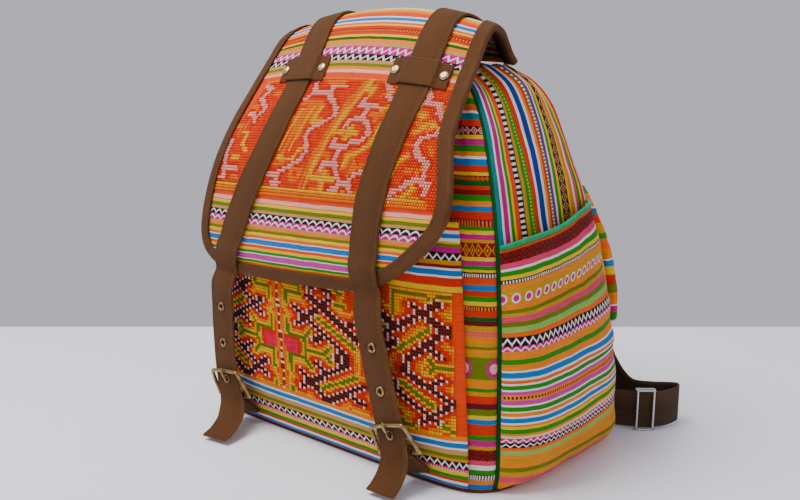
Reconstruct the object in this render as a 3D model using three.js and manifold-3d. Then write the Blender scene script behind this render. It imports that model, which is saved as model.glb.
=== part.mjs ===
// An embroidered cloth backpack, standing on its base: a gathered sack sewn from five panels, a flat
// front pocket, two full side pockets, a bound flap held down by two buckled straps, and two padded
// shoulder straps with webbing. Millimetres, +Z up, the front faces -Y, origin under the base's centre.
import * as THREE from 'three';
import { mergeVertices } from 'three/addons/utils/BufferGeometryUtils.js';
import Module from 'manifold-3d';

const wasm = await Module();
wasm.setup();

// Cloth and clearances
const CLOTH = 2.4; // lined wall of the sack and the pockets
const SEAM_GAP = 0.5; // between cloth pieces that are sewn together
const SEAT_GAP = 0.6; // between a strap or patch and the curved cloth that it lies on
const METAL_GAP = 0.5; // between metal and what passes through it

// The sack
const BODY_WIDTH = 360;
const FRONT_DEPTH = 111; // from the origin forward to the front panel
const BACK_DEPTH = 111; // from the origin back to the back panel
const BODY_HEIGHT = 352;
const FRONT_SEAM = 18; // from the front corner back along the side to the side panel's seam
const BACK_SEAM = 14; // from the back corner forward along the side to the back panel's seam
const GATHER_COUNT = 14; // folds drawn in by the neck
const GATHER_DEPTH = 4.5;
const CREASE_DEPTH = 11; // the deep fold down each side panel
const CREASE_TURN = 24; // degrees from the middle of the side round to the deep fold
const CREASE_SPREAD = 6; // half the deep fold's breadth, in degrees

// Pockets
const POCKET_WIDTH = 334;
const POCKET_TAPER = 13; // how much further in its sides lie at the mouth
const POCKET_TOP = 229;
const POCKET_LOFT = 12;
const POCKET_FOOT = 5; // height of both kinds of pocket's lower seam
const SIDE_POCKET_TOP = 207; // at its front corner
const SIDE_POCKET_RISE = 22; // its mouth climbs by this to the back corner
const SIDE_POCKET_TAPER = 48; // how much further forward its back seam lies at the mouth
const SIDE_POCKET_LOFT = 22;
const PIPING_RADIUS = 2.2;

// The flap
const FLAP_WIDTH = 293;
const FLAP_CLOTH = 2.6;
const FLAP_CROWN = 36; // how far the flap's side edges fall back or down from its middle line
const FLAP_SKEW = 9; // how much higher the right end of its lower edge hangs than the middle
const CORNER_LEFT = 44;
const CORNER_RIGHT = 98;
const BINDING_WIDTH = 11.5;
const BINDING_CLOTH = 1.2;
const BINDING_GAP = 0.8; // between the binding's lips and the flap

// Closing straps and their metal
const STRAP_WIDTH = 30;
const STRAP_CLOTH = 2.4;
const STRAP_STANDOFF = 27; // how far the hanging strap's inner face is in front of the front panel
const TAIL_REACH_LEFT = 38; // how much further forward the left strap's loose tip curls
const TAIL_REACH_RIGHT = 22;
const EYELET_TOP = 121; // height of the highest eyelet
const EYELET_PITCH = 36;
const EYELET_COUNT = 3;
const EYELET_HOLE = 2.4;
const EYELET_FLANGE = 4.6;
const EYELET_METAL = 0.6;
const PATCH_WIDTH = 60;
const PATCH_LENGTH = 27;
const PATCH_UP = BODY_HEIGHT - 5; // height of the patches' centres on the flap
const PATCH_CLOTH = 2;
const RIVET_RADIUS = 4.4;
const RIVET_RISE = 2;
const RIVET_SPACING = 50;
const BAR_RADIUS = 1.8; // wire of the buckles
const BUCKLE_TOP_WIDTH = 38;
const BUCKLE_HEEL_WIDTH = 45;
const BUCKLE_HEIGHT = 26;
const PRONG_RADIUS = 1.2;
const TAB_WIDTH = 27;
const TAB_CLOTH = 1.6;

// Shoulder straps
const PAD_WIDTH = 62;
const PAD_THICK = 12;
const PAD_TOP = 326;
const PAD_FOOT = 100;
const WEBBING_WIDTH = 36;
const WEBBING_CLOTH = 2;
const WEBBING_FOOT = 3; // height of the webbing's lower edge where it stands beside the base
const SLIDER_ALONG = 0.81; // share of the webbing's length down to the slider
const SLIDER_LENGTH = 18;
const SLIDER_BAR = 2.4;

// The sack's sections. up: share of the height; wide, front, back: shares of half the width and of the
// two depths; square: how boxy the section is; gather: share of the full depth of the folds.
const BODY_ROWS = [
  { up: 0.0, wide: 0.978, front: 0.98, back: 0.975, square: 7.0, gather: 0 },
  { up: 0.05, wide: 1.0, front: 1.0, back: 0.995, square: 6.6, gather: 0 },
  { up: 0.25, wide: 1.005, front: 1.0, back: 1.0, square: 6.2, gather: 0 },
  { up: 0.39, wide: 1.0, front: 1.0, back: 0.97, square: 6.0, gather: 0 },
  { up: 0.48, wide: 0.989, front: 0.995, back: 0.9, square: 5.8, gather: 0 },
  { up: 0.6, wide: 0.967, front: 0.98, back: 0.74, square: 5.4, gather: 0.06 },
  { up: 0.705, wide: 0.925, front: 0.95, back: 0.64, square: 5.0, gather: 0.2 },
  { up: 0.777, wide: 0.885, front: 0.92, back: 0.61, square: 4.7, gather: 0.35 },
  { up: 0.86, wide: 0.828, front: 0.86, back: 0.615, square: 4.2, gather: 0.6 },
  { up: 0.923, wide: 0.77, front: 0.74, back: 0.6, square: 3.8, gather: 0.85 },
  { up: 0.96, wide: 0.711, front: 0.64, back: 0.53, square: 3.5, gather: 1 },
  { up: 0.986, wide: 0.633, front: 0.53, back: 0.41, square: 3.2, gather: 1 },
  { up: 1.0, wide: 0.578, front: 0.46, back: 0.3, square: 3.0, gather: 1 },
];

// The flap from its lower front edge (along 0) over the top to its seam on the back (along 1).
// front and up: its middle line, shares of the front depth and of the sack's height; left, right: shares
// of half its width; edgeBack and edgeDrop: how far its side edges lie back and down, shares of the crown.
const FLAP_ROWS = [
  { along: 0.0, front: 1.19, up: 0.455, left: 1.06, right: 0.93, edgeBack: 0.1, edgeDrop: -0.1 },
  { along: 0.07, front: 1.216, up: 0.525, left: 1.07, right: 0.955, edgeBack: 0.12, edgeDrop: 0.0 },
  { along: 0.165, front: 1.198, up: 0.625, left: 1.05, right: 1.02, edgeBack: 0.15, edgeDrop: 0.0 },
  { along: 0.28, front: 1.144, up: 0.742, left: 0.99, right: 0.985, edgeBack: 0.22, edgeDrop: 0.05 },
  { along: 0.4, front: 1.009, up: 0.852, left: 0.935, right: 0.91, edgeBack: 0.28, edgeDrop: 0.15 },
  { along: 0.523, front: 0.793, up: 0.955, left: 0.91, right: 0.87, edgeBack: 0.3, edgeDrop: 0.3 },
  { along: 0.631, front: 0.577, up: 1.04, left: 0.895, right: 0.845, edgeBack: 0.2, edgeDrop: 0.45 },
  { along: 0.722, front: 0.378, up: 1.105, left: 0.88, right: 0.82, edgeBack: 0.0, edgeDrop: 0.6 },
  { along: 0.785, front: 0.198, up: 1.136, left: 0.85, right: 0.79, edgeBack: -0.1, edgeDrop: 0.75 },
  { along: 0.847, front: -0.009, up: 1.125, left: 0.8, right: 0.75, edgeBack: -0.25, edgeDrop: 0.85 },
  { along: 0.908, front: -0.153, up: 1.085, left: 0.76, right: 0.71, edgeBack: -0.35, edgeDrop: 0.65 },
  { along: 0.962, front: -0.25, up: 1.04, left: 0.74, right: 0.69, edgeBack: -0.35, edgeDrop: 0.35 },
  { along: 1.0, front: -0.33, up: 1.007, left: 0.73, right: 0.68, edgeBack: -0.35, edgeDrop: 0.1 },
];

// Where the two closing straps run. up: share of the sack's height; left, right: shares of its half width.
const STRAP_ROWS = [
  { up: 0.0, left: -0.49, right: 0.589 },
  { up: 0.034, left: -0.525, right: 0.585 },
  { up: 0.077, left: -0.59, right: 0.578 },
  { up: 0.134, left: -0.625, right: 0.556 },
  { up: 0.22, left: -0.645, right: 0.506 },
  { up: 0.36, left: -0.65, right: 0.433 },
  { up: 0.5, left: -0.628, right: 0.37 },
  { up: 0.645, left: -0.511, right: 0.375 },
  { up: 0.778, left: -0.385, right: 0.415 },
  { up: 0.906, left: -0.325, right: 0.44 },
  { up: 0.994, left: -0.335, right: 0.43 },
  { up: 1.136, left: -0.411, right: 0.385 },
];

// The free end of a closing strap below the flap. up: share of the highest eyelet's height;
// out: share of the tail's reach.
const TAIL_ROWS = [
  { up: 1.18, out: 0.0 },
  { up: 1.0, out: 0.0 },
  { up: 0.86, out: 0.0 },
  { up: 0.7, out: 0.0 },
  { up: 0.55, out: 0.0 },
  { up: 0.4, out: 0.0 },
  { up: 0.28, out: 0.01 },
  { up: 0.2, out: 0.1 },
  { up: 0.125, out: 0.34 },
  { up: 0.065, out: 0.7 },
  { up: 0.035, out: 1.0 },
];

// A padded shoulder strap from its seam under the flap down to the webbing. along: share of its drop;
// aside: share of the half width; slack: how far it stands off the back panel, a share of its width.
const PAD_ROWS = [
  { along: 0.0, aside: 0.27, slack: 0.0 },
  { along: 0.15, aside: 0.36, slack: 0.03 },
  { along: 0.32, aside: 0.52, slack: 0.06 },
  { along: 0.5, aside: 0.66, slack: 0.08 },
  { along: 0.7, aside: 0.72, slack: 0.07 },
  { along: 0.86, aside: 0.745, slack: 0.06 },
  { along: 1.0, aside: 0.75, slack: 0.06 },
];

// The webbing under a pad, as it lies behind the base. aside: share of the half width; back: share of
// the back depth; up: share of the pad's foot; flat: 1 where its width lies level, 0 where it stands on edge.
const WEBBING_ROWS = [
  { aside: 0.75, back: 1.125, up: 1.0, flat: 1.0 },
  { aside: 0.755, back: 1.14, up: 0.8, flat: 1.0 },
  { aside: 0.79, back: 1.17, up: 0.58, flat: 0.75 },
  { aside: 0.86, back: 1.205, up: 0.36, flat: 0.3 },
  { aside: 0.95, back: 1.24, up: 0.24, flat: 0.0 },
  { aside: 1.05, back: 1.33, up: 0.22, flat: 0.0 },
  { aside: 1.13, back: 1.45, up: 0.21, flat: 0.0 },
  { aside: 1.17, back: 1.47, up: 0.21, flat: 0.0 },
  { aside: 1.19, back: 1.38, up: 0.21, flat: 0.0 },
  { aside: 1.165, back: 1.2, up: 0.21, flat: 0.0 },
  { aside: 1.09, back: 1.065, up: 0.21, flat: 0.0 },
  { aside: 0.985, back: 0.975, up: 0.21, flat: 0.0 },
  { aside: 0.897, back: 0.904, up: 0.21, flat: 0.0 },
];

const CLOTH_ORANGE = 0xd9702f;
const CLOTH_RED = 0xc8402a;
const BROWN = 0x5c4530;
const DARK_BROWN = 0x2e2418;
const ANTIQUE_BRASS = 0xa59a78;

const X = new THREE.Vector3(1, 0, 0);
const Z = new THREE.Vector3(0, 0, 1);

const mix = (a, b, share) => a + (b - a) * share;
const smooth = (low, high, value) => {
  const t = Math.min(1, Math.max(0, (value - low) / (high - low)));
  return t * t * (3 - 2 * t);
};
const evenly = (from, to, count) => Array.from({ length: count + 1 }, (_, i) => mix(from, to, i / count));

/** One named column of a table at a value of its key column, on a smooth curve through the rows. */
function column(rows, key, name, at) {
  const last = rows.length - 1;
  const rising = rows[last][key] > rows[0][key];
  const ahead = rows.findIndex((row) => (rising ? row[key] >= at : row[key] <= at));
  if (ahead === 0) return rows[0][name];
  if (ahead < 0) return rows[last][name];
  const slope = (i) => {
    const before = rows[Math.max(i - 1, 0)];
    const after = rows[Math.min(i + 1, last)];
    return (after[name] - before[name]) / (after[key] - before[key]);
  };
  const a = rows[ahead - 1];
  const b = rows[ahead];
  const span = b[key] - a[key];
  const t = (at - a[key]) / span;
  return a[name] * (2 * t ** 3 - 3 * t ** 2 + 1) + slope(ahead - 1) * span * (t ** 3 - 2 * t ** 2 + t)
    + b[name] * (3 * t ** 2 - 2 * t ** 3) + slope(ahead) * span * (t ** 3 - t ** 2);
}

/** A closed geometry from points and triangles, turned so that its faces point out. */
function closed(points, triangles) {
  const volume = triangles.reduce((sum, [a, b, c]) => (
    sum + points[a].dot(new THREE.Vector3().crossVectors(points[b], points[c]))), 0);
  const order = volume < 0 ? triangles.map(([a, b, c]) => [a, c, b]) : triangles;
  const geometry = new THREE.BufferGeometry().setFromPoints(points);
  geometry.setIndex(order.flat());
  return geometry;
}

/** The outward unit normal of surface(s, t), whose s and t run right and up as seen from outside. */
function facing(surface, s, t) {
  const step = 1e-3;
  const across = surface(s + step, t).sub(surface(s - step, t));
  const along = surface(s, t + step).sub(surface(s, t - step));
  return across.cross(along).normalize();
}

/** Triangles of a double grid of points, with its rim. */
function gridTriangles(wide, high) {
  const at = (layer, i, j) => layer * wide * high + j * wide + i;
  const triangles = [];
  const quad = (a, b, c, d) => triangles.push([a, b, c], [a, c, d]);
  for (let j = 0; j < high - 1; j += 1) {
    for (let i = 0; i < wide - 1; i += 1) {
      quad(at(0, i, j), at(0, i + 1, j), at(0, i + 1, j + 1), at(0, i, j + 1));
      quad(at(1, i, j), at(1, i, j + 1), at(1, i + 1, j + 1), at(1, i + 1, j));
    }
    quad(at(0, 0, j), at(0, 0, j + 1), at(1, 0, j + 1), at(1, 0, j));
    quad(at(0, wide - 1, j), at(1, wide - 1, j), at(1, wide - 1, j + 1), at(0, wide - 1, j + 1));
  }
  for (let i = 0; i < wide - 1; i += 1) {
    quad(at(0, i, 0), at(1, i, 0), at(1, i + 1, 0), at(0, i + 1, 0));
    quad(at(0, i, high - 1), at(0, i + 1, high - 1), at(1, i + 1, high - 1), at(1, i, high - 1));
  }
  return triangles;
}

/** A cloth wall on surface(s, t): its faces lie outside and inside millimetres off the surface. */
function sheet(surface, columns, rows, outside, inside) {
  const points = [];
  for (const offset of [outside, inside]) {
    for (const t of rows) {
      for (const s of columns) {
        points.push(surface(s, t).addScaledVector(facing(surface, s, t), offset(s, t)));
      }
    }
  }
  return closed(points, gridTriangles(columns.length, rows.length));
}

/** A body through rings of points, its ends capped as the flat section is, or run round a loop. */
function lofted(rings, section, loop = false) {
  const points = rings.flat();
  const n = section.length;
  const triangles = [];
  const spans = loop ? rings.length : rings.length - 1;
  for (let k = 0; k < spans; k += 1) {
    const next = (k + 1) % rings.length;
    for (let i = 0; i < n; i += 1) {
      const j = (i + 1) % n;
      triangles.push([k * n + i, k * n + j, next * n + j], [k * n + i, next * n + j, next * n + i]);
    }
  }
  if (!loop) {
    const flat = section.map(([side, out]) => new THREE.Vector2(side, out));
    const end = (rings.length - 1) * n;
    const turned = THREE.ShapeUtils.isClockWise(flat);
    for (const [a, b, c] of THREE.ShapeUtils.triangulateShape(flat, [])) {
      const [p, q] = turned ? [b, c] : [c, b];
      triangles.push([a, p, q], [end + a, end + q, end + p]);
    }
  }
  return closed(points, triangles);
}

/** A section of [side, out] points carried along stations { at, side, out }, capped or run round a loop. */
function sweep(stations, section, loop = false) {
  return lofted(stations.map((station) => section.map(([side, out]) => (
    station.at.clone().addScaledVector(station.side, side).addScaledVector(station.out, out)
  ))), section, loop);
}

/** Stations along points: each side is sideOf(k) squared up to the path, and out is tangent x side. */
function stationsAlong(points, sideOf, loop = false) {
  const n = points.length;
  return points.map((at, k) => {
    const before = points[loop ? (k + n - 1) % n : Math.max(k - 1, 0)];
    const after = points[loop ? (k + 1) % n : Math.min(k + 1, n - 1)];
    const tangent = after.clone().sub(before).normalize();
    const side = sideOf(k).clone();
    side.addScaledVector(tangent, -side.dot(tangent)).normalize();
    return { at, side, out: tangent.clone().cross(side) };
  });
}

const band = (width, low, high) => [
  [-width / 2, low], [width / 2, low], [width / 2, high], [-width / 2, high],
];
const round = (radius, sides) => Array.from({ length: sides }, (_, i) => {
  const angle = ((i + 0.5) / sides) * 2 * Math.PI;
  return [radius * Math.cos(angle), radius * Math.sin(angle)];
});

/** A merged geometry as a solid of the boolean library, and such a solid back as a geometry. */
function toSolid(geometry) {
  const bare = new THREE.BufferGeometry().setAttribute('position', geometry.getAttribute('position'));
  if (geometry.index) bare.setIndex(geometry.index);
  const merged = mergeVertices(bare, 1e-4);
  return new wasm.Manifold(new wasm.Mesh({
    numProp: 3,
    vertProperties: merged.attributes.position.array,
    triVerts: new Uint32Array(merged.index.array),
  }));
}

function toGeometry(solid) {
  const made = solid.getMesh();
  const geometry = new THREE.BufferGeometry();
  geometry.setAttribute('position', new THREE.BufferAttribute(new Float32Array(made.vertProperties), 3));
  geometry.setIndex(new THREE.BufferAttribute(new Uint32Array(made.triVerts), 1));
  return geometry;
}

const backpack = new THREE.Group();

function add(name, geometry, color, roughness, metalness = 0) {
  const material = new THREE.MeshStandardMaterial({ color, roughness, metalness });
  const mesh = new THREE.Mesh(geometry, material);
  mesh.name = name;
  backpack.add(mesh);
  return mesh;
}

const addCloth = (name, geometry, color = CLOTH_ORANGE) => add(name, geometry, color, 0.9);
const addLeather = (name, geometry, color = BROWN) => add(name, geometry, color, 0.75);
const addMetal = (name, geometry) => add(name, geometry, ANTIQUE_BRASS, 0.35, 1);

// The sack's wall

const WALL_FOOT = CLOTH + SEAM_GAP; // the walls start on top of the base panel
const SIDE_DEPTH = FRONT_DEPTH + BACK_DEPTH;
const GIRTH = 2 * (BODY_WIDTH + SIDE_DEPTH);
const upAt = (z) => (z - WALL_FOOT) / (BODY_HEIGHT - WALL_FOOT);

/** The direction, seen from above, of a place on the plain box, by distance from its front left corner. */
function directionAt(distance) {
  const d = ((distance % GIRTH) + GIRTH) % GIRTH;
  if (d < BODY_WIDTH) return Math.atan2(-FRONT_DEPTH, d - BODY_WIDTH / 2);
  if (d < BODY_WIDTH + SIDE_DEPTH) return Math.atan2(d - BODY_WIDTH - FRONT_DEPTH, BODY_WIDTH / 2);
  if (d < 2 * BODY_WIDTH + SIDE_DEPTH) return Math.atan2(BACK_DEPTH, 1.5 * BODY_WIDTH + SIDE_DEPTH - d);
  return Math.atan2(2 * BODY_WIDTH + SIDE_DEPTH + BACK_DEPTH - d, -BODY_WIDTH / 2);
}

/** The sack's outer surface in a direction at a share of its height. */
function bodyPoint(direction, up) {
  const c = Math.cos(direction);
  const s = Math.sin(direction);
  const wide = column(BODY_ROWS, 'up', 'wide', up) * (BODY_WIDTH / 2);
  const front = column(BODY_ROWS, 'up', 'front', up) * FRONT_DEPTH;
  const back = column(BODY_ROWS, 'up', 'back', up) * BACK_DEPTH;
  const square = column(BODY_ROWS, 'up', 'square', up);
  const deep = s < 0 ? front : back;
  const gather = column(BODY_ROWS, 'up', 'gather', up);
  const fromCrease = (Math.atan2(s, Math.abs(c)) * 180) / Math.PI - CREASE_TURN;
  const crease = gather * CREASE_DEPTH * Math.exp(-((fromCrease / CREASE_SPREAD) ** 2));
  const folds = gather * GATHER_DEPTH * Math.cos(GATHER_COUNT * direction) - crease;
  const radius = (Math.abs(c / wide) ** square + Math.abs(s / deep) ** square) ** (-1 / square) + folds;
  return new THREE.Vector3(radius * c, radius * s, mix(WALL_FOOT, BODY_HEIGHT, up));
}

/** The sack's surface between two distances round the box, with s running from 0 to 1 between them. */
const wall = (from, to) => (s, up) => bodyPoint(directionAt(mix(from, to, s)), Math.min(1, Math.max(0, up)));

const PANEL_ROWS = [0, 0.03, 0.08, 0.2, 0.36, 0.5, 0.62, 0.72, 0.8, 0.87, 0.93, 0.97, 1];
const SIDE_START = BODY_WIDTH + FRONT_SEAM;
const SIDE_END = BODY_WIDTH + SIDE_DEPTH - BACK_SEAM;
const panels = [
  { name: 'front_panel', from: -FRONT_SEAM, to: SIDE_START, columns: 18 },
  { name: 'side_panel_right', from: SIDE_START, to: SIDE_END, columns: 14 },
  { name: 'back_panel', from: SIDE_END, to: GIRTH - SIDE_END + BODY_WIDTH, columns: 14 },
  { name: 'side_panel_left', from: GIRTH - SIDE_END + BODY_WIDTH, to: GIRTH - FRONT_SEAM, columns: 14 },
];
for (const { name, from, to, columns } of panels) {
  const surface = wall(from + SEAM_GAP, to - SEAM_GAP);
  addCloth(name, sheet(surface, evenly(0, 1, columns), PANEL_ROWS, () => 0, () => -CLOTH));
}

const baseOutline = new THREE.Shape(evenly(0, GIRTH, 64).slice(0, -1).map((distance) => {
  const at = bodyPoint(directionAt(distance), 0);
  return new THREE.Vector2(at.x, at.y);
}));
addLeather('base_panel', new THREE.ExtrudeGeometry(baseOutline, { depth: CLOTH, bevelEnabled: false }));

// Front pocket: a lined cloth front sewn flat at its sides and foot, standing off the sack at its open mouth

const pocketSurface = (s, t) => wall(0, BODY_WIDTH)(
  0.5 + (s * (POCKET_WIDTH / 2 - POCKET_TAPER * t)) / BODY_WIDTH,
  mix(upAt(POCKET_FOOT), upAt(POCKET_TOP), t));
const pocketLoft = (s, t) => SEAT_GAP + POCKET_LOFT * (1 - Math.abs(s) ** 4) * smooth(0, 0.22, t);
const POCKET_COLUMNS = [-1, -0.96, -0.9, -0.8, -0.66, -0.45, -0.22, 0, 0.22, 0.45, 0.66, 0.8, 0.9, 0.96, 1];
addCloth('front_pocket', sheet(pocketSurface, POCKET_COLUMNS, [0, 0.07, 0.14, 0.22, 0.4, 0.6, 0.8, 1],
  (s, t) => pocketLoft(s, t) + CLOTH, pocketLoft), CLOTH_RED);

// Side pockets: full cloth fronts drawn in a little at the piped mouth

const SIDE_LOFT_ROWS = [
  { t: 0, loft: 0 },
  { t: 0.03, loft: 0.55 },
  { t: 0.09, loft: 0.85 },
  { t: 0.3, loft: 1 },
  { t: 0.6, loft: 0.95 },
  { t: 0.76, loft: 0.74 },
  { t: 0.82, loft: 0.8 },
  { t: 0.92, loft: 0.72 },
  { t: 1, loft: 0.6 },
];
const POCKET_SEAM = 3; // the side pocket's seams lie this far inside the side panel's

function sidePocket(name, from, to, back) {
  const top = (s) => SIDE_POCKET_TOP + SIDE_POCKET_RISE * (back > 0 ? s : 1 - s);
  const first = from + POCKET_SEAM;
  const last = to - POCKET_SEAM;
  const drawn = (t) => (
    back > 0 ? [first, last - SIDE_POCKET_TAPER * t] : [first + SIDE_POCKET_TAPER * t, last]);
  const surface = (s, t) => wall(...drawn(t))(s, mix(upAt(POCKET_FOOT), upAt(top(s)), t));
  const loft = (s, t) => SEAT_GAP + SIDE_POCKET_LOFT * (1 - Math.abs(2 * s - 1) ** 4)
    * column(SIDE_LOFT_ROWS, 't', 'loft', t);
  const columns = [0, 0.04, 0.1, 0.2, 0.35, 0.65, 0.8, 0.9, 0.96, 1];
  addCloth(name, sheet(surface, columns, [0, 0.03, 0.09, 0.18, 0.3, 0.45, 0.6, 0.69, 0.76, 0.82, 0.92, 1],
    (s, t) => loft(s, t) + CLOTH, loft));
  const piping = columns.map((s) => {
    const at = surface(s, 1).addScaledVector(facing(surface, s, 1), loft(s, 1) + CLOTH / 2);
    return at.addScaledVector(Z, PIPING_RADIUS + SEAM_GAP);
  });
  return sweep(stationsAlong(piping, () => Z), round(PIPING_RADIUS, 8));
}

addCloth('pocket_piping_right', sidePocket('side_pocket_right', SIDE_START, SIDE_END, 1), 0x1f8f5e);
addCloth('pocket_piping_left',
  sidePocket('side_pocket_left', GIRTH - SIDE_END + BODY_WIDTH, GIRTH - FRONT_SEAM, -1), 0x1f8f5e);

// The flap and its folded binding

const CREST = FLAP_ROWS.reduce((high, row) => (row.up > high.up ? row : high)).along;
const FLAP_LENGTH = FLAP_ROWS.slice(1).reduce((sum, row, i) => sum + Math.hypot(
  (row.front - FLAP_ROWS[i].front) * FRONT_DEPTH, (row.up - FLAP_ROWS[i].up) * BODY_HEIGHT), 0);

/** The flap's outer surface at a distance x across and a share t from its lower edge to its back seam. */
function flapPoint(x, t) {
  const value = (name) => column(FLAP_ROWS, 'along', name, t);
  const aside = x / (FLAP_WIDTH / 2);
  const y = -value('front') * FRONT_DEPTH + value('edgeBack') * FLAP_CROWN * aside ** 2;
  const z = value('up') * BODY_HEIGHT - value('edgeDrop') * FLAP_CROWN * aside ** 2
    + FLAP_SKEW * aside * Math.max(0, 1 - t) ** 2;
  return new THREE.Vector3(x, y, z);
}

/** The flap's half width at t on the side that s points to, drawn in round its lower corners. */
function flapHalf(s, t) {
  const radius = s < 0 ? CORNER_LEFT : CORNER_RIGHT;
  const fromEdge = Math.min(radius, t * FLAP_LENGTH);
  const cut = radius - Math.sqrt(Math.max(0, radius ** 2 - (radius - fromEdge) ** 2));
  return column(FLAP_ROWS, 'along', s < 0 ? 'left' : 'right', t) * (FLAP_WIDTH / 2) - cut;
}

const flapSurface = (s, t) => flapPoint(s * flapHalf(s, t), t);

/** The flap's outward unit normal at x and t. */
function flapFacing(x, t) {
  const inside = Math.min(0.98, Math.max(0.02, t));
  const across = flapPoint(x + 1, inside).sub(flapPoint(x - 1, inside));
  const along = flapPoint(x, inside + 0.01).sub(flapPoint(x, inside - 0.01));
  return across.cross(along).normalize();
}

const UNDER_STRAP = [BINDING_WIDTH + 13, BINDING_WIDTH + 25]; // where a strap comes down off the binding
const CORNER_STEPS = [0, 3, 11, ...UNDER_STRAP, 52, 72].map((step) => step / FLAP_LENGTH);
const FLAP_STATIONS = [...CORNER_STEPS, ...evenly(0.26, 0.6, 6), ...evenly(0.64, 0.94, 10), 0.97, 1];
const FLAP_COLUMNS = [-1, -0.93, -0.78, -0.55, -0.28, 0, 0.28, 0.55, 0.78, 0.93, 1];

function flapSheet() {
  const points = [];
  for (const offset of [0, -FLAP_CLOTH]) {
    for (const t of FLAP_STATIONS) {
      for (const s of FLAP_COLUMNS) {
        const at = flapSurface(s, t);
        points.push(at.clone().addScaledVector(flapFacing(at.x, t), offset));
      }
    }
  }
  return points;
}

addCloth('flap', closed(flapSheet(), gridTriangles(FLAP_COLUMNS.length, FLAP_STATIONS.length)), CLOTH_RED);

/** A channel that folds over the flap's edge: side runs inward from the edge, out along its normal. */
const bindingSection = [
  [-SEAM_GAP - BINDING_CLOTH, BINDING_GAP + BINDING_CLOTH],
  [BINDING_WIDTH, BINDING_GAP + BINDING_CLOTH],
  [BINDING_WIDTH, BINDING_GAP],
  [-SEAM_GAP, BINDING_GAP],
  [-SEAM_GAP, -FLAP_CLOTH - BINDING_GAP],
  [BINDING_WIDTH, -FLAP_CLOTH - BINDING_GAP],
  [BINDING_WIDTH, -FLAP_CLOTH - BINDING_GAP - BINDING_CLOTH],
  [-SEAM_GAP - BINDING_CLOTH, -FLAP_CLOTH - BINDING_GAP - BINDING_CLOTH],
];

function flapBinding() {
  const down = [...FLAP_STATIONS].reverse().map((t) => [-1, t]);
  const across = FLAP_COLUMNS.slice(1, -1).map((s) => [s, 0]);
  const up = FLAP_STATIONS.map((t) => [1, t]);
  const rim = [...down, ...across, ...up].map(([s, t]) => (
    new THREE.Vector2(s * flapHalf(s, t), t * FLAP_LENGTH)));
  const rings = rim.map((edge, k) => {
    const run = rim[Math.min(k + 1, rim.length - 1)].clone().sub(rim[Math.max(k - 1, 0)]).normalize();
    const inward = new THREE.Vector2(-run.y, run.x);
    const onCloth = (side) => {
      const [x, t] = [edge.x + inward.x * side, (edge.y + inward.y * side) / FLAP_LENGTH];
      return { at: flapPoint(x, Math.min(1, Math.max(0, t))), normal: flapFacing(x, t) };
    };
    const rest = onCloth(0);
    const away = onCloth(BINDING_WIDTH).at.sub(rest.at).normalize();
    return bindingSection.map(([side, out]) => {
      const { at, normal } = side > 0 ? onCloth(side) : rest;
      return at.clone().addScaledVector(away, Math.min(0, side)).addScaledVector(normal, out);
    });
  });
  return lofted(rings, bindingSection);
}

addLeather('flap_binding', flapBinding());

// Closing straps: over the flap, under a riveted patch, down through the buckle to a loose tail

/** Where a strap's middle line lies on the flap: t for a height on the front, and x for a side. */
const strapAside = (side, z) => column(STRAP_ROWS, 'up', side, z / BODY_HEIGHT) * (BODY_WIDTH / 2);
const flapHeight = (t) => column(FLAP_ROWS, 'along', 'up', t) * BODY_HEIGHT;
const OVER_BINDING = BINDING_GAP + BINDING_CLOTH + 1.4 * SEAT_GAP;
const onFlap = (x, t, off) => flapPoint(x, t).addScaledVector(flapFacing(x, t), off);

/** Stations of a closing strap's inner face, from the flap's back seam to the tail's tip. */
function strapStations(side) {
  const over = [...FLAP_STATIONS].reverse().filter((t) => t < 0.99 && t !== CORNER_STEPS[1]);
  const aside = over.map((t) => strapAside(side, t > CREST ? flapHeight(CREST) : flapHeight(t)));
  const onTop = over.map((t, k) => {
    const lift = mix(OVER_BINDING, SEAT_GAP, smooth(...UNDER_STRAP, t * FLAP_LENGTH));
    return onFlap(aside[k], t, lift);
  });
  const hanging = TAIL_ROWS.map((row) => {
    const z = row.up * EYELET_TOP;
    const reach = side === 'left' ? TAIL_REACH_LEFT : TAIL_REACH_RIGHT;
    return new THREE.Vector3(strapAside(side, z), -FRONT_DEPTH - STRAP_STANDOFF - reach * row.out, z);
  });
  return stationsAlong([...onTop, ...hanging], (k) => {
    if (k >= over.length) return X;
    const normal = flapFacing(aside[k], over[k]);
    return X.clone().addScaledVector(normal, -normal.x);
  });
}

/** The point and frame of a strap's line at a height below the flap. */
function strapAt(stations, z) {
  const low = stations.findIndex((station, k) => k > 0 && station.at.z <= z && stations[k - 1].at.z >= z
    && station.at.y < 0 && z < EYELET_TOP * TAIL_ROWS[0].up);
  const a = stations[low - 1];
  const b = stations[low];
  const share = (a.at.z - z) / (a.at.z - b.at.z);
  const side = a.side.clone().lerp(b.side, share).normalize();
  const out = a.out.clone().lerp(b.out, share);
  out.addScaledVector(side, -out.dot(side)).normalize();
  return { at: a.at.clone().lerp(b.at, share), side, out };
}

/** Turns a mesh modelled about +Z so that its +Z points along out and its +X along side. */
function stand(mesh, at, side, out) {
  const across = out.clone().cross(side);
  mesh.quaternion.setFromRotationMatrix(new THREE.Matrix4().makeBasis(side, across, out));
  mesh.position.copy(at);
  return mesh;
}

const lathe = (profile, sides) => toGeometry(toSolid(new THREE.LatheGeometry(
  profile.map(([radius, height]) => new THREE.Vector2(radius, height)), sides).rotateX(Math.PI / 2)));

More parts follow.
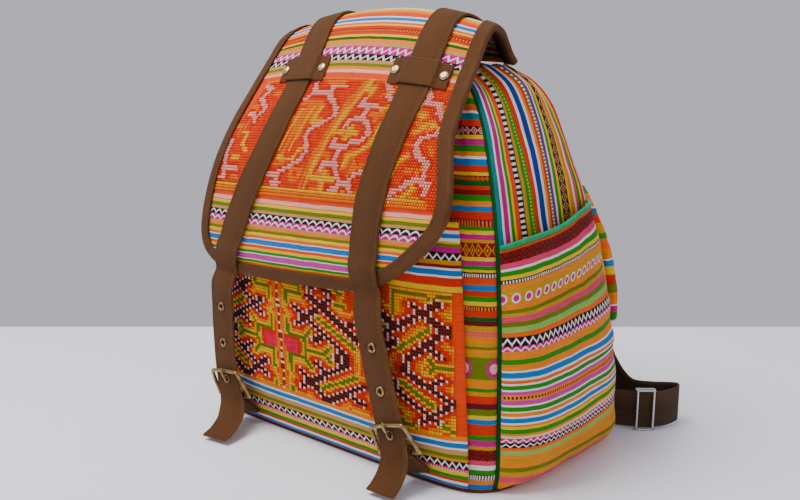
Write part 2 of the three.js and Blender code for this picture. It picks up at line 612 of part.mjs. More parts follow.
/** A rolled eyelet about +Z, with the strap's inner face at 0: a barrel with a flange on the outer face. */
const eyelet = () => lathe([
  [EYELET_HOLE, -EYELET_METAL], [EYELET_HOLE + EYELET_METAL, -EYELET_METAL],
  [EYELET_HOLE + EYELET_METAL, STRAP_CLOTH + METAL_GAP], [EYELET_FLANGE, STRAP_CLOTH + METAL_GAP],
  [EYELET_HOLE + EYELET_METAL / 2, STRAP_CLOTH + METAL_GAP + 1], [EYELET_HOLE, -EYELET_METAL],
], 10);

const rivet = () => lathe([
  [0, 0], [RIVET_RADIUS, 0], [RIVET_RADIUS, RIVET_RISE * 0.35], [RIVET_RADIUS * 0.6, RIVET_RISE * 0.87],
  [0, RIVET_RISE],
], 10);

const EYELET_HEIGHTS = evenly(EYELET_TOP, EYELET_TOP - EYELET_PITCH * (EYELET_COUNT - 1), EYELET_COUNT - 1);
const PINNED = EYELET_HEIGHTS[EYELET_COUNT - 1]; // height of the eyelet that holds the buckle's prong
const BUCKLE_BAR_UP = PINNED + EYELET_FLANGE + BAR_RADIUS + 1.5; // height of the buckle's upper bar

const HEEL_BEHIND = BAR_RADIUS + 2 * METAL_GAP + TAB_CLOTH; // heel bar's centre, behind the strap
const BAR_BEFORE = STRAP_CLOTH + METAL_GAP + BAR_RADIUS; // upper bar's centre, before that face

/** A buckle's wire as a closed path in its own plane: heel bar below, narrower upper bar above. */
function buckleFrame(middle) {
  const top = BUCKLE_TOP_WIDTH / 2;
  const heel = BUCKLE_HEEL_WIDTH / 2;
  const curl = 4;
  const corners = [
    [-heel, 0], [-heel + curl, 0], [heel - curl, 0], [heel, 0], [mix(heel, top, 0.12), 0.12],
    [mix(heel, top, 0.5), 0.5], [mix(heel, top, 0.84), 0.84], [top - 1, 0.96], [top - curl, 1], [0, 1.03],
    [-top + curl, 1], [-top + 1, 0.96], [-mix(heel, top, 0.84), 0.84], [-mix(heel, top, 0.5), 0.5],
    [-mix(heel, top, 0.12), 0.12],
  ];
  const points = corners.map(([aside, rise]) => middle.at.clone()
    .addScaledVector(middle.side, aside)
    .addScaledVector(middle.up, (rise - 1) * BUCKLE_HEIGHT)
    .addScaledVector(middle.out, mix(-HEEL_BEHIND, BAR_BEFORE, rise)));
  return sweep(stationsAlong(points, () => middle.out, true), round(BAR_RADIUS, 8), true);
}

/** The prong: round the heel bar behind the strap, out through the eyelet and over the upper bar. */
function buckleProng(middle, hole) {
  const heel = middle.at.clone().addScaledVector(middle.up, -BUCKLE_HEIGHT);
  const grip = BAR_RADIUS + METAL_GAP + PRONG_RADIUS;
  const rise = hole.at.clone().sub(heel).dot(middle.up);
  const before = BAR_BEFORE + grip;
  const hook = [-50, -90, -135, -180, -215].map((degrees) => {
    const angle = (degrees * Math.PI) / 180;
    return [grip * Math.cos(angle) - HEEL_BEHIND, grip * Math.sin(angle)];
  });
  const reach = [
    [-HEEL_BEHIND - 0.6, rise * 0.55], [-HEEL_BEHIND * 0.72, rise * 0.82], [-HEEL_BEHIND * 0.34, rise - 0.5],
    [STRAP_CLOTH / 2, rise], [STRAP_CLOTH + 1.2, rise + 0.7], [mix(STRAP_CLOTH, before, 0.6), rise + 2.8],
    [before, BUCKLE_HEIGHT], [before - 0.4, BUCKLE_HEIGHT + 4],
  ];
  const slant = hole.at.clone().sub(heel).dot(middle.side) / rise;
  const points = [...hook, ...reach].map(([out, up]) => heel.clone()
    .addScaledVector(middle.out, out)
    .addScaledVector(middle.up, up)
    .addScaledVector(middle.side, slant * up));
  return sweep(stationsAlong(points, () => middle.side), round(PRONG_RADIUS, 6));
}

/** The leather tab folded round the heel bar and sewn to the foot of the front pocket. */
function buckleTab(middle) {
  const heel = middle.at.clone()
    .addScaledVector(middle.up, -BUCKLE_HEIGHT)
    .addScaledVector(middle.out, -HEEL_BEHIND);
  const loop = BAR_RADIUS + METAL_GAP;
  const drop = heel.z - POCKET_FOOT - 6;
  const foot = heel.clone().addScaledVector(middle.up, -drop).setY(
    -FRONT_DEPTH - SEAM_GAP - CLOTH - TAB_CLOTH - 2 * SEAT_GAP);
  const away = foot.clone().sub(heel).normalize();
  const across = middle.side.clone().cross(away).normalize();
  const reach = heel.distanceTo(foot);
  const at = (along, off) => heel.clone().addScaledVector(away, along).addScaledVector(across, off);
  const arc = [90, 135, 180, 225, 270].map((degrees) => {
    const angle = (degrees * Math.PI) / 180;
    return at(loop * Math.cos(angle), loop * Math.sin(angle));
  });
  const leg = (sign) => [
    at(reach, sign * 0.3), at(reach * 0.5, sign * 0.3), at(loop * 1.6, sign * loop * 0.45),
  ];
  const points = [...leg(1), ...arc, ...leg(-1).toReversed()];
  const ribbon = sweep(stationsAlong(points, () => middle.side), band(TAB_WIDTH, 0, TAB_CLOTH));
  const clear = 2 * (BAR_RADIUS + 2 * METAL_GAP + 2 * PRONG_RADIUS + 1);
  const slot = new THREE.BoxGeometry(2 * PRONG_RADIUS + 6, clear, clear);
  slot.translate(heel.x, heel.y, heel.z);
  return toGeometry(toSolid(ribbon).subtract(toSolid(slot)));
}

/** A leather patch that bridges the strap, and the two rivets through its ends. */
function strapPatch(side) {
  const along = FLAP_STATIONS.find((t, i) => i > 0 && flapHeight(t) >= PATCH_UP);
  const t0 = [0, 1, 2, 3, 4].reduce((t) => t - (flapHeight(t) - PATCH_UP)
    / ((flapHeight(t + 0.01) - flapHeight(t - 0.01)) / 0.02), along);
  const x0 = strapAside(side, PATCH_UP);
  const skew = (strapAside(side, PATCH_UP + 10) - strapAside(side, PATCH_UP - 10)) / 20;
  const halfStrap = STRAP_WIDTH / 2;
  const bridge = (a) => SEAT_GAP
    + (STRAP_CLOTH + SEAT_GAP) * (1 - smooth(halfStrap + 1.5, halfStrap + 5, Math.abs(a)));
  const place = (a, b, off) => onFlap(x0 + a + skew * b, t0 + b / FLAP_LENGTH, off);
  const spots = [PATCH_WIDTH / 2, halfStrap + 9, halfStrap + 5, halfStrap + 1.5, halfStrap * 0.5];
  const columns = [...spots.map((a) => -a), 0, ...spots.toReversed()];
  const rows = evenly(-PATCH_LENGTH / 2, PATCH_LENGTH / 2, 4);
  const points = [PATCH_CLOTH, 0].flatMap((thick) => rows.flatMap((b) => (
    columns.map((a) => place(a, b, bridge(a) + thick)))));
  addLeather(`strap_patch_${side}`, closed(points, gridTriangles(columns.length, rows.length)));
  ['a', 'b'].forEach((letter, i) => {
    const a = (i - 0.5) * RIVET_SPACING;
    const at = place(a, 0, SEAT_GAP + PATCH_CLOTH + METAL_GAP);
    stand(addMetal(`rivet_${side}_${letter}`, rivet()), at, X, flapFacing(at.x, t0));
  });
}

for (const side of ['left', 'right']) {
  const stations = strapStations(side);
  const holes = EYELET_HEIGHTS.map((z) => strapAt(stations, z));
  let strap = toSolid(sweep(stations, band(STRAP_WIDTH, 0, STRAP_CLOTH)));
  holes.forEach((hole, i) => {
    const drill = new THREE.CylinderGeometry(
      EYELET_HOLE + EYELET_METAL + METAL_GAP, EYELET_HOLE + EYELET_METAL + METAL_GAP, 3 * STRAP_CLOTH, 10);
    drill.rotateX(Math.PI / 2);
    drill.applyMatrix4(new THREE.Matrix4().makeBasis(hole.side, hole.out.clone().cross(hole.side), hole.out));
    const centre = hole.at.clone().addScaledVector(hole.out, STRAP_CLOTH / 2);
    drill.translate(centre.x, centre.y, centre.z);
    strap = strap.subtract(toSolid(drill));
    stand(addMetal(`eyelet_${side}_${i + 1}`, eyelet()), hole.at, hole.side, hole.out);
  });
  addLeather(`closing_strap_${side}`, toGeometry(strap));
  strapPatch(side);
  const middle = strapAt(stations, BUCKLE_BAR_UP);
  middle.up = middle.out.clone().cross(middle.side);
  addMetal(`buckle_frame_${side}`, buckleFrame(middle));
  addMetal(`buckle_prong_${side}`, buckleProng(middle, holes[EYELET_COUNT - 1]));
  addLeather(`buckle_tab_${side}`, buckleTab(middle), DARK_BROWN);
}

// Shoulder straps on the back: a padded upper part, webbing below it and a three-bar slider

/** The back panel's outer face at x and a height. */
const backFace = (x, z) => bodyPoint(Math.atan2(BACK_DEPTH, x * (BODY_WIDTH / 2) / (
  column(BODY_ROWS, 'up', 'wide', upAt(z)) * (BODY_WIDTH / 2))), upAt(z)).y;

/** A padded section: flat faces with rounded long edges. */
const padSection = [
  [-PAD_WIDTH / 2, PAD_THICK * 0.3], [-PAD_WIDTH / 2 + 5, 0], [PAD_WIDTH / 2 - 5, 0],
  [PAD_WIDTH / 2, PAD_THICK * 0.3], [PAD_WIDTH / 2, PAD_THICK * 0.7], [PAD_WIDTH / 2 - 5, PAD_THICK],
  [-PAD_WIDTH / 2 + 5, PAD_THICK], [-PAD_WIDTH / 2, PAD_THICK * 0.7],
];

function shoulderPad(hand) {
  const points = evenly(0, 1, 12).map((along) => {
    const x = hand * column(PAD_ROWS, 'along', 'aside', along) * (BODY_WIDTH / 2);
    const z = mix(PAD_TOP, PAD_FOOT, along);
    const slack = column(PAD_ROWS, 'along', 'slack', along) * PAD_WIDTH;
    const panel = Math.max(backFace(x, z), backFace(0, z)) + 0.85 * GATHER_DEPTH;
    return new THREE.Vector3(x, panel + SEAT_GAP + slack, z);
  });
  return sweep(stationsAlong(points, () => X.clone().negate()), padSection);
}

const WEBBING_STEPS = 28;

/** Stations of the webbing's middle line. */
function webbingStations(hand) {
  const lowest = WEBBING_FOOT + WEBBING_WIDTH / 2;
  const curve = new THREE.CatmullRomCurve3(WEBBING_ROWS.map((row) => new THREE.Vector3(
    hand * row.aside * (BODY_WIDTH / 2), row.back * BACK_DEPTH,
    Math.max(row.up * (PAD_FOOT - SEAT_GAP), lowest))));
  const points = curve.getPoints(WEBBING_STEPS);
  return stationsAlong(points, (k) => {
    const at = (k / WEBBING_STEPS) * (WEBBING_ROWS.length - 1);
    const i = Math.min(Math.floor(at), WEBBING_ROWS.length - 2);
    const flat = mix(WEBBING_ROWS[i].flat, WEBBING_ROWS[i + 1].flat, at - i);
    return new THREE.Vector3(hand * flat, 0, 1 - flat);
  });
}

/** A three-bar slider round the webbing: two rails, two bars over it and one under it. */
function slider(station, hand) {
  const half = WEBBING_WIDTH / 2 + METAL_GAP;
  const over = WEBBING_CLOTH / 2 + METAL_GAP;
  const deep = 2 * (over + SLIDER_BAR);
  const block = (x, y, z, width, height, depth) => {
    const box = new THREE.BoxGeometry(width, height, depth);
    box.translate(x, y, z);
    return toSolid(box);
  };
  const rails = [-1, 1].map((end) => (
    block(end * (half + SLIDER_BAR / 2), 0, 0, SLIDER_BAR, SLIDER_LENGTH, deep)));
  const barAt = (y, z) => block(0, y, z, 2 * half + SLIDER_BAR, SLIDER_BAR, SLIDER_BAR);
  const bars = [
    barAt((SLIDER_LENGTH - SLIDER_BAR) / 2, -hand * (over + SLIDER_BAR / 2)),
    barAt(-(SLIDER_LENGTH - SLIDER_BAR) / 2, -hand * (over + SLIDER_BAR / 2)),
    barAt(0, hand * (over + SLIDER_BAR / 2)),
  ];
  const geometry = toGeometry([...rails, ...bars].reduce((whole, piece) => whole.add(piece)));
  const tangent = station.out.clone().cross(station.side);
  geometry.applyMatrix4(new THREE.Matrix4().makeBasis(station.side, tangent, station.out));
  return geometry.translate(station.at.x, station.at.y, station.at.z);
}

for (const [side, hand] of [['left', -1], ['right', 1]]) {
  addCloth(`shoulder_pad_${side}`, shoulderPad(hand));
  const stations = webbingStations(hand);
  addLeather(`webbing_${side}`,
    sweep(stations, band(WEBBING_WIDTH, -WEBBING_CLOTH / 2, WEBBING_CLOTH / 2)), DARK_BROWN);
  addMetal(`slider_${side}`, slider(stations[Math.round(SLIDER_ALONG * WEBBING_STEPS)], hand));
}

export default backpack;
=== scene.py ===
"""An embroidered cloth backpack with a bound flap, two buckled straps, three pockets and padded shoulder straps.

Sizes are millimetres on the pack, as in the solids; meshes are metres. Patterns lie in each cloth's own UV
map, "cloth", whose units are millimetres of cloth, so a thread or a stripe keeps its real size.
"""

import math

import bpy
import numpy as np
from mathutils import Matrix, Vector


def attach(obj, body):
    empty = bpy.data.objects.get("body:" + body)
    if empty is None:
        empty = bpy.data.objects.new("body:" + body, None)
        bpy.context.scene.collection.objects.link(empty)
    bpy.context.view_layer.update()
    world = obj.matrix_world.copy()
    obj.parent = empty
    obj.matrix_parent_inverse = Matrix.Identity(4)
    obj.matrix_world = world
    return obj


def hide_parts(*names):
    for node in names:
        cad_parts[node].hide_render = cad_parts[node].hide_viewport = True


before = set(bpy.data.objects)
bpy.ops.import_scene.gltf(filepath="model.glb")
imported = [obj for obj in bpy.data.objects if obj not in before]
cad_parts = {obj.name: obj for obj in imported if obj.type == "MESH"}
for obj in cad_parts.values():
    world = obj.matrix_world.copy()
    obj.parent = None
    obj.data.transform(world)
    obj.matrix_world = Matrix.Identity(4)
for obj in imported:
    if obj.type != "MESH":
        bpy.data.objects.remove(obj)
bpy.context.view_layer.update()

bl_info = {
    "name": "Embroidered Backpack",
    "version": (1, 0, 0),
    "blender": (4, 5, 0),
    "location": "3D View > Sidebar > Backpack",
    "description": "Builds a woven and cross-stitched cloth backpack over its solids",
    "category": "Add Mesh",
}

MM = 0.001

# Sizes in millimetres and counts, as the solids have them. The sack and its folds:
CLOTH = 2.4
SEAM_GAP = 0.5
SEAT_GAP = 0.6
BODY_WIDTH = 360
FRONT_DEPTH = 111
BACK_DEPTH = 111
BODY_HEIGHT = 352
FRONT_SEAM = 18
BACK_SEAM = 14
GATHER_COUNT = 14
GATHER_DEPTH = 4.5
CREASE_DEPTH = 11
CREASE_TURN = 24
CREASE_SPREAD = 6
# The pockets and their piping:
POCKET_WIDTH = 334
POCKET_TAPER = 13
POCKET_TOP = 229
POCKET_LOFT = 12
POCKET_FOOT = 5
SIDE_POCKET_TOP = 207
SIDE_POCKET_RISE = 22
SIDE_POCKET_TAPER = 48
SIDE_POCKET_LOFT = 22
POCKET_SEAM = 3
PIPING_RADIUS = 2.2
# The flap and its binding:
FLAP_WIDTH = 293
FLAP_CLOTH = 2.6
FLAP_CROWN = 36
FLAP_SKEW = 9
CORNER_LEFT = 44
CORNER_RIGHT = 98
BINDING_WIDTH = 11.5
BINDING_CLOTH = 1.2
BINDING_GAP = 0.8
# The closing straps, and what is riveted, set and sewn on them:
STRAP_WIDTH = 30
STRAP_CLOTH = 2.4
STRAP_STANDOFF = 27
TAIL_REACH = {"left": 38, "right": 22}
EYELET_TOP = 121
EYELET_PITCH = 36
EYELET_HOLE = 2.4
EYELET_FLANGE = 4.6
PATCH_WIDTH = 60
PATCH_LENGTH = 27
PATCH_UP = 347
PATCH_CLOTH = 2
PATCH_SEAM = 2.6
STRAP_SEAM = 3
RIVET_RADIUS = 4.4
RIVET_RISE = 2
RIVET_SPACING = 50
BAR_RADIUS = 1.8
BUCKLE_TOP_WIDTH = 38
BUCKLE_HEEL_WIDTH = 45
BUCKLE_HEIGHT = 26
PRONG_RADIUS = 1.2
TAB_WIDTH = 27
TAB_CLOTH = 1.6
# The shoulder pads and their webbing:
PAD_WIDTH = 62
PAD_THICK = 12
PAD_TOP = 326
PAD_FOOT = 100
WEBBING_WIDTH = 36
WEBBING_CLOTH = 2
WEBBING_FOOT = 3
SLIDER_ALONG = 23 / 28
SLIDER_BAR = 1.2


def table(columns, rows):
    """A table of named columns as arrays, its first column rising."""
    names = columns.split()
    values = np.array(rows, float)
    if values[0, 0] > values[-1, 0]:
        values = values[::-1]
    return {name: values[:, i] for i, name in enumerate(names)}


# Shapes, read between their rows; shares of the sizes above, unless they say millimetres.

BODY_ROWS = table("up wide front back square gather", [
    (0.0, 0.978, 0.98, 0.975, 7.0, 0),
    (0.05, 1.0, 1.0, 0.995, 6.6, 0),
    (0.25, 1.005, 1.0, 1.0, 6.2, 0),
    (0.39, 1.0, 1.0, 0.97, 6.0, 0),
    (0.48, 0.989, 0.995, 0.9, 5.8, 0),
    (0.6, 0.967, 0.98, 0.74, 5.4, 0.06),
    (0.705, 0.925, 0.95, 0.64, 5.0, 0.2),
    (0.777, 0.885, 0.92, 0.61, 4.7, 0.35),
    (0.86, 0.828, 0.86, 0.615, 4.2, 0.6),
    (0.923, 0.77, 0.74, 0.6, 3.8, 0.85),
    (0.96, 0.711, 0.64, 0.53, 3.5, 1),
    (0.986, 0.633, 0.53, 0.41, 3.2, 1),
    (1.0, 0.578, 0.46, 0.3, 3.0, 1),
])

FLAP_ROWS = table("along front up left right edge_back edge_drop", [
    (0.0, 1.19, 0.455, 1.06, 0.93, 0.1, -0.1),
    (0.07, 1.216, 0.525, 1.07, 0.955, 0.12, 0.0),
    (0.165, 1.198, 0.625, 1.05, 1.02, 0.15, 0.0),
    (0.28, 1.144, 0.742, 0.99, 0.985, 0.22, 0.05),
    (0.4, 1.009, 0.852, 0.935, 0.91, 0.28, 0.15),
    (0.523, 0.793, 0.955, 0.91, 0.87, 0.3, 0.3),
    (0.631, 0.577, 1.04, 0.895, 0.845, 0.2, 0.45),
    (0.722, 0.378, 1.105, 0.88, 0.82, 0.0, 0.6),
    (0.785, 0.198, 1.136, 0.85, 0.79, -0.1, 0.75),
    (0.847, -0.009, 1.125, 0.8, 0.75, -0.25, 0.85),
    (0.908, -0.153, 1.085, 0.76, 0.71, -0.35, 0.65),
    (0.962, -0.25, 1.04, 0.74, 0.69, -0.35, 0.35),
    (1.0, -0.33, 1.007, 0.73, 0.68, -0.35, 0.1),
])

STRAP_ROWS = table("up left right", [
    (0.0, -0.49, 0.589),
    (0.034, -0.525, 0.585),
    (0.077, -0.59, 0.578),
    (0.134, -0.625, 0.556),
    (0.22, -0.645, 0.506),
    (0.36, -0.65, 0.433),
    (0.5, -0.628, 0.37),
    (0.645, -0.511, 0.375),
    (0.778, -0.385, 0.415),
    (0.906, -0.325, 0.44),
    (0.994, -0.335, 0.43),
    (1.136, -0.411, 0.385),
])

TAIL_ROWS = [
    (1.18, 0.0), (1.0, 0.0), (0.86, 0.0), (0.7, 0.0), (0.55, 0.0), (0.4, 0.0),
    (0.28, 0.01), (0.2, 0.1), (0.125, 0.34), (0.065, 0.7), (0.035, 1.0),
]

PAD_ROWS = table("along aside slack", [
    (0.0, 0.27, 0.0),
    (0.15, 0.36, 0.03),
    (0.32, 0.52, 0.06),
    (0.5, 0.66, 0.08),
    (0.7, 0.72, 0.07),
    (0.86, 0.745, 0.06),
    (1.0, 0.75, 0.06),
])

WEBBING_ROWS = [
    (0.75, 1.125, 1.0, 1.0),
    (0.755, 1.14, 0.8, 1.0),
    (0.79, 1.17, 0.58, 0.75),
    (0.86, 1.205, 0.36, 0.3),
    (0.95, 1.24, 0.24, 0.0),
    (1.05, 1.33, 0.22, 0.0),
    (1.13, 1.45, 0.21, 0.0),
    (1.17, 1.47, 0.21, 0.0),
    (1.19, 1.38, 0.21, 0.0),
    (1.165, 1.2, 0.21, 0.0),
    (1.09, 1.065, 0.21, 0.0),
    (0.985, 0.975, 0.21, 0.0),
    (0.897, 0.904, 0.21, 0.0),
]

SIDE_LOFT_ROWS = table("up loft", [
    (0, 0), (0.03, 0.55), (0.09, 0.85), (0.3, 1), (0.6, 0.95), (0.76, 0.74), (0.82, 0.8),
    (0.92, 0.72), (1, 0.6),
])


def read(rows, name, at):
    """One named column of a table at values of its first column, on a smooth curve through the rows."""
    xs, ys = next(iter(rows.values())), rows[name]
    last = len(xs) - 1
    index = np.arange(len(xs))
    after, before = np.minimum(index + 1, last), np.maximum(index - 1, 0)
    slope = (ys[after] - ys[before]) / (xs[after] - xs[before])
    at = np.clip(np.asarray(at, float), xs[0], xs[-1])
    b = np.clip(np.searchsorted(xs, at), 1, last)
    a = b - 1
    span = xs[b] - xs[a]
    t = (at - xs[a]) / span
    return (ys[a] * (2 * t**3 - 3 * t**2 + 1) + slope[a] * span * (t**3 - 2 * t**2 + t)
            + ys[b] * (3 * t**2 - 2 * t**3) + slope[b] * span * (t**3 - t**2))


def mix(a, b, share):
    """The value that lies a share of the way from a to b."""
    return a + (b - a) * share


def smooth(low, high, value):
    """A soft step from 0 at low to 1 at high."""
    t = np.clip((value - low) / (high - low), 0, 1)
    return t * t * (3 - 2 * t)


# The sack's wall

WALL_FOOT = CLOTH + SEAM_GAP
SIDE_DEPTH = FRONT_DEPTH + BACK_DEPTH
GIRTH = 2 * (BODY_WIDTH + SIDE_DEPTH)
SIDE_START = BODY_WIDTH + FRONT_SEAM
SIDE_END = BODY_WIDTH + SIDE_DEPTH - BACK_SEAM
LEFT_START = GIRTH - SIDE_END + BODY_WIDTH


def up_at(z):
    """The share of the wall's height that a height in millimetres is."""
    return (z - WALL_FOOT) / (BODY_HEIGHT - WALL_FOOT)


def direction_at(distance):
    """The direction, seen from above, of a place on the plain box round the sack."""
    d = np.mod(distance, GIRTH)
    half = BODY_WIDTH / 2
    x = np.select(
        [d < BODY_WIDTH, d < BODY_WIDTH + SIDE_DEPTH, d < 2 * BODY_WIDTH + SIDE_DEPTH],
        [d - half, half + 0 * d, 1.5 * BODY_WIDTH + SIDE_DEPTH - d], -half + 0 * d)
    y = np.select(
        [d < BODY_WIDTH, d < BODY_WIDTH + SIDE_DEPTH, d < 2 * BODY_WIDTH + SIDE_DEPTH],
        [-FRONT_DEPTH + 0 * d, d - BODY_WIDTH - FRONT_DEPTH, BACK_DEPTH + 0 * d],
        2 * BODY_WIDTH + SIDE_DEPTH + BACK_DEPTH - d)
    return np.arctan2(y, x)


def body_point(direction, up):
    """The sack's outer surface in a direction at a share of its height."""
    up = np.clip(up, 0, 1)
    c, s = np.cos(direction), np.sin(direction)
    wide = read(BODY_ROWS, "wide", up) * (BODY_WIDTH / 2)
    deep = np.where(s < 0, read(BODY_ROWS, "front", up) * FRONT_DEPTH,
                    read(BODY_ROWS, "back", up) * BACK_DEPTH)
    square = read(BODY_ROWS, "square", up)
    gather = read(BODY_ROWS, "gather", up)
    from_crease = np.degrees(np.arctan2(s, np.abs(c))) - CREASE_TURN
    crease = gather * CREASE_DEPTH * np.exp(-((from_crease / CREASE_SPREAD) ** 2))
    folds = gather * GATHER_DEPTH * np.cos(GATHER_COUNT * direction) - crease
    radius = (np.abs(c / wide) ** square + np.abs(s / deep) ** square) ** (-1 / square) + folds
    return np.stack([radius * c, radius * s, mix(WALL_FOOT, BODY_HEIGHT, up)], axis=-1)


def wall(start, end):
    """The sack's surface between two distances round the box, as a function of s from 0 to 1 and up."""
    return lambda s, up: body_point(direction_at(mix(start, end, s)), up)


# Front pocket and side pockets

def pocket_surface(s, t):
    """The front pocket's seat on the front panel: s from -1 to 1 across, t from 0 to 1 up."""
    across = 0.5 + s * (POCKET_WIDTH / 2 - POCKET_TAPER * t) / BODY_WIDTH
    return wall(0, BODY_WIDTH)(across, mix(up_at(POCKET_FOOT), up_at(POCKET_TOP), t))


def pocket_loft(s, t):
    """How far the front pocket's inner face stands off its seat."""
    return SEAT_GAP + POCKET_LOFT * (1 - np.abs(s) ** 4) * smooth(0, 0.22, t)


def side_pocket(start, end, back):
    """A side pocket's seat on the side panel, as a function of s and t, and how far it stands off there."""
    first, last = start + POCKET_SEAM, end - POCKET_SEAM

    def surface(s, t):
        """The pocket's seat."""
        low = first + (SIDE_POCKET_TAPER * t if back < 0 else 0)
        high = last - (SIDE_POCKET_TAPER * t if back > 0 else 0)
        top = SIDE_POCKET_TOP + SIDE_POCKET_RISE * (s if back > 0 else 1 - s)
        return body_point(direction_at(mix(low, high, s)), mix(up_at(POCKET_FOOT), up_at(top), t))

    def loft(s, t):
        """The gap behind the pocket's inner face."""
        return SEAT_GAP + SIDE_POCKET_LOFT * (1 - np.abs(2 * s - 1) ** 4) * read(SIDE_LOFT_ROWS, "loft", t)

    return surface, loft


# The flap

FLAP_LENGTH = float(np.sum(np.hypot(
    np.diff(FLAP_ROWS["front"]) * FRONT_DEPTH, np.diff(FLAP_ROWS["up"]) * BODY_HEIGHT)))
CREST = float(FLAP_ROWS["along"][np.argmax(FLAP_ROWS["up"])])


def flap_point(x, t):
    """The flap's outer surface at a distance x across and a share t from its lower edge to its back seam."""
    aside = x / (FLAP_WIDTH / 2)
    y = (-read(FLAP_ROWS, "front", t) * FRONT_DEPTH
         + read(FLAP_ROWS, "edge_back", t) * FLAP_CROWN * aside**2)
    z = (read(FLAP_ROWS, "up", t) * BODY_HEIGHT - read(FLAP_ROWS, "edge_drop", t) * FLAP_CROWN * aside**2
         + FLAP_SKEW * aside * np.maximum(0, 1 - t) ** 2)
    return np.stack(np.broadcast_arrays(x, y, z), axis=-1)


def flap_half(s, t):
    """The flap's half width at t on the side that s points to, drawn in round its lower corners."""
    radius = np.where(s < 0, CORNER_LEFT, CORNER_RIGHT)
    from_edge = np.minimum(radius, t * FLAP_LENGTH)
    cut = radius - np.sqrt(np.maximum(0, radius**2 - (radius - from_edge) ** 2))
    share = np.where(s < 0, read(FLAP_ROWS, "left", t), read(FLAP_ROWS, "right", t))
    return share * (FLAP_WIDTH / 2) - cut


def flap_facing(x, t):
    """The flap's outward unit normal at x and t."""
    inside = np.clip(t, 0.02, 0.98)
    across = flap_point(x + 1.0, inside) - flap_point(x - 1.0, inside)
    along = flap_point(x, inside + 0.01) - flap_point(x, inside - 0.01)
    return unit(np.cross(across, along))


def unit(vectors):
    """The vectors at a length of one."""
    return vectors / np.linalg.norm(vectors, axis=-1, keepdims=True)


# Making meshes

def normals(grid):
    """Outward unit normals of a grid whose columns run to the right and rows run up, seen from outside."""
    return unit(np.cross(np.gradient(grid, axis=1), np.gradient(grid, axis=0)))


def shell(outer, inner, uv):
    """A closed cloth wall between two grids: points, faces, UVs and a material index for each face."""
    rows, columns = outer.shape[:2]
    count = rows * columns
    index = np.arange(count).reshape(rows, columns)
    a, b, c, d = index[:-1, :-1], index[:-1, 1:], index[1:, 1:], index[1:, :-1]
    face = np.stack([a, b, c, d], -1).reshape(-1, 4)
    lining = np.stack([a, d, c, b], -1).reshape(-1, 4) + count
    rim = np.concatenate([index[0, :-1], index[:-1, -1], index[-1, :0:-1], index[:0:-1, 0]])
    after = np.roll(rim, -1)
    edge = np.stack([after, rim, rim + count, after + count], -1)
    faces = np.concatenate([face, lining, edge])
    inside = np.r_[np.zeros(len(face), int), np.ones(len(lining), int), np.zeros(len(edge), int)]
    flat = uv.reshape(-1, 2)
    return np.concatenate([outer.reshape(-1, 3), inner.reshape(-1, 3)]), faces, np.concatenate([flat, flat]), inside


def frames(points, sides, loop=False):
    """Unit side and outward directions square to a path."""
    if loop:
        run = np.roll(points, -1, 0) - np.roll(points, 1, 0)
    else:
        ends = np.concatenate([points[:1], points, points[-1:]])
        run = ends[2:] - ends[:-2]
    tangent = unit(run)
    side = unit(sides - tangent * (sides * tangent).sum(-1, keepdims=True))
    return side, np.cross(tangent, side)


def sweep(points, sides, section, loop=False):
    """A section of (side, out) points carried along a path, as points, faces and UVs."""
    points = np.asarray(points, float)
    side, out = frames(points, np.broadcast_to(sides, points.shape), loop)
    section = np.asarray(section, float)
    if section.ndim == 2:
        section = np.broadcast_to(section, (len(points),) + section.shape)
    rings = points[:, None] + side[:, None] * section[..., :1] + out[:, None] * section[..., 1:]
    return rings_mesh(rings, section[..., 0], loop)


def rings_mesh(rings, across, loop=False):
    """A closed body through rings of points; the UVs are across and the length along the rings."""
    count, n = rings.shape[:2]
    middle = rings.mean(1)
    length = np.r_[0, np.cumsum(np.linalg.norm(np.diff(middle, axis=0), axis=-1))]
    uv = np.stack([across, np.broadcast_to(length[:, None], (count, n))], -1).reshape(-1, 2)
    k = np.arange(count if loop else count - 1)[:, None] * n
    following = (k + n) % (count * n)
    i = np.arange(n)[None]
    j = (i + 1) % n
    faces = np.stack([k + i, k + j, following + j, following + i], -1).reshape(-1, 4).tolist()
    if not loop:
        faces += [list(range(n))[::-1], list(range((count - 1) * n, count * n))]
    return rings.reshape(-1, 3), faces, uv


def turned(profile, at, side, out, sides=28, loop=True):
    """A body turned about out at a place, from a profile of (radius, height) points."""
    profile = np.asarray(profile, float)
    angle = np.linspace(0, 2 * math.pi, sides, endpoint=False)
    across = np.cross(out, side)
    around = np.cos(angle)[:, None] * side + np.sin(angle)[:, None] * across
    rings = at + profile[:, None, :1] * around[None] + profile[:, None, 1:] * out
    count = len(profile)
    k = np.arange(count if loop else count - 1)[:, None] * sides
    following = (k + sides) % (count * sides)
    i = np.arange(sides)[None]
    j = (i + 1) % sides
    faces = np.stack([k + i, k + j, following + j, following + i], -1).reshape(-1, 4)
    uv = np.stack([np.broadcast_to(profile[:, :1], (count, sides)),
                   np.broadcast_to(profile[:, 1:], (count, sides))], -1).reshape(-1, 2)
    return rings.reshape(-1, 3), faces.tolist(), uv


def joined(*bodies):
    """Several bodies of points, faces and UVs as one."""
    points, faces, uv, start = [], [], [], 0
    for body in bodies:
        points.append(body[0])
        uv.append(body[2])
        faces += [[i + start for i in face] for face in body[1]]
        start += len(body[0])
    return np.concatenate(points), faces, np.concatenate(uv)


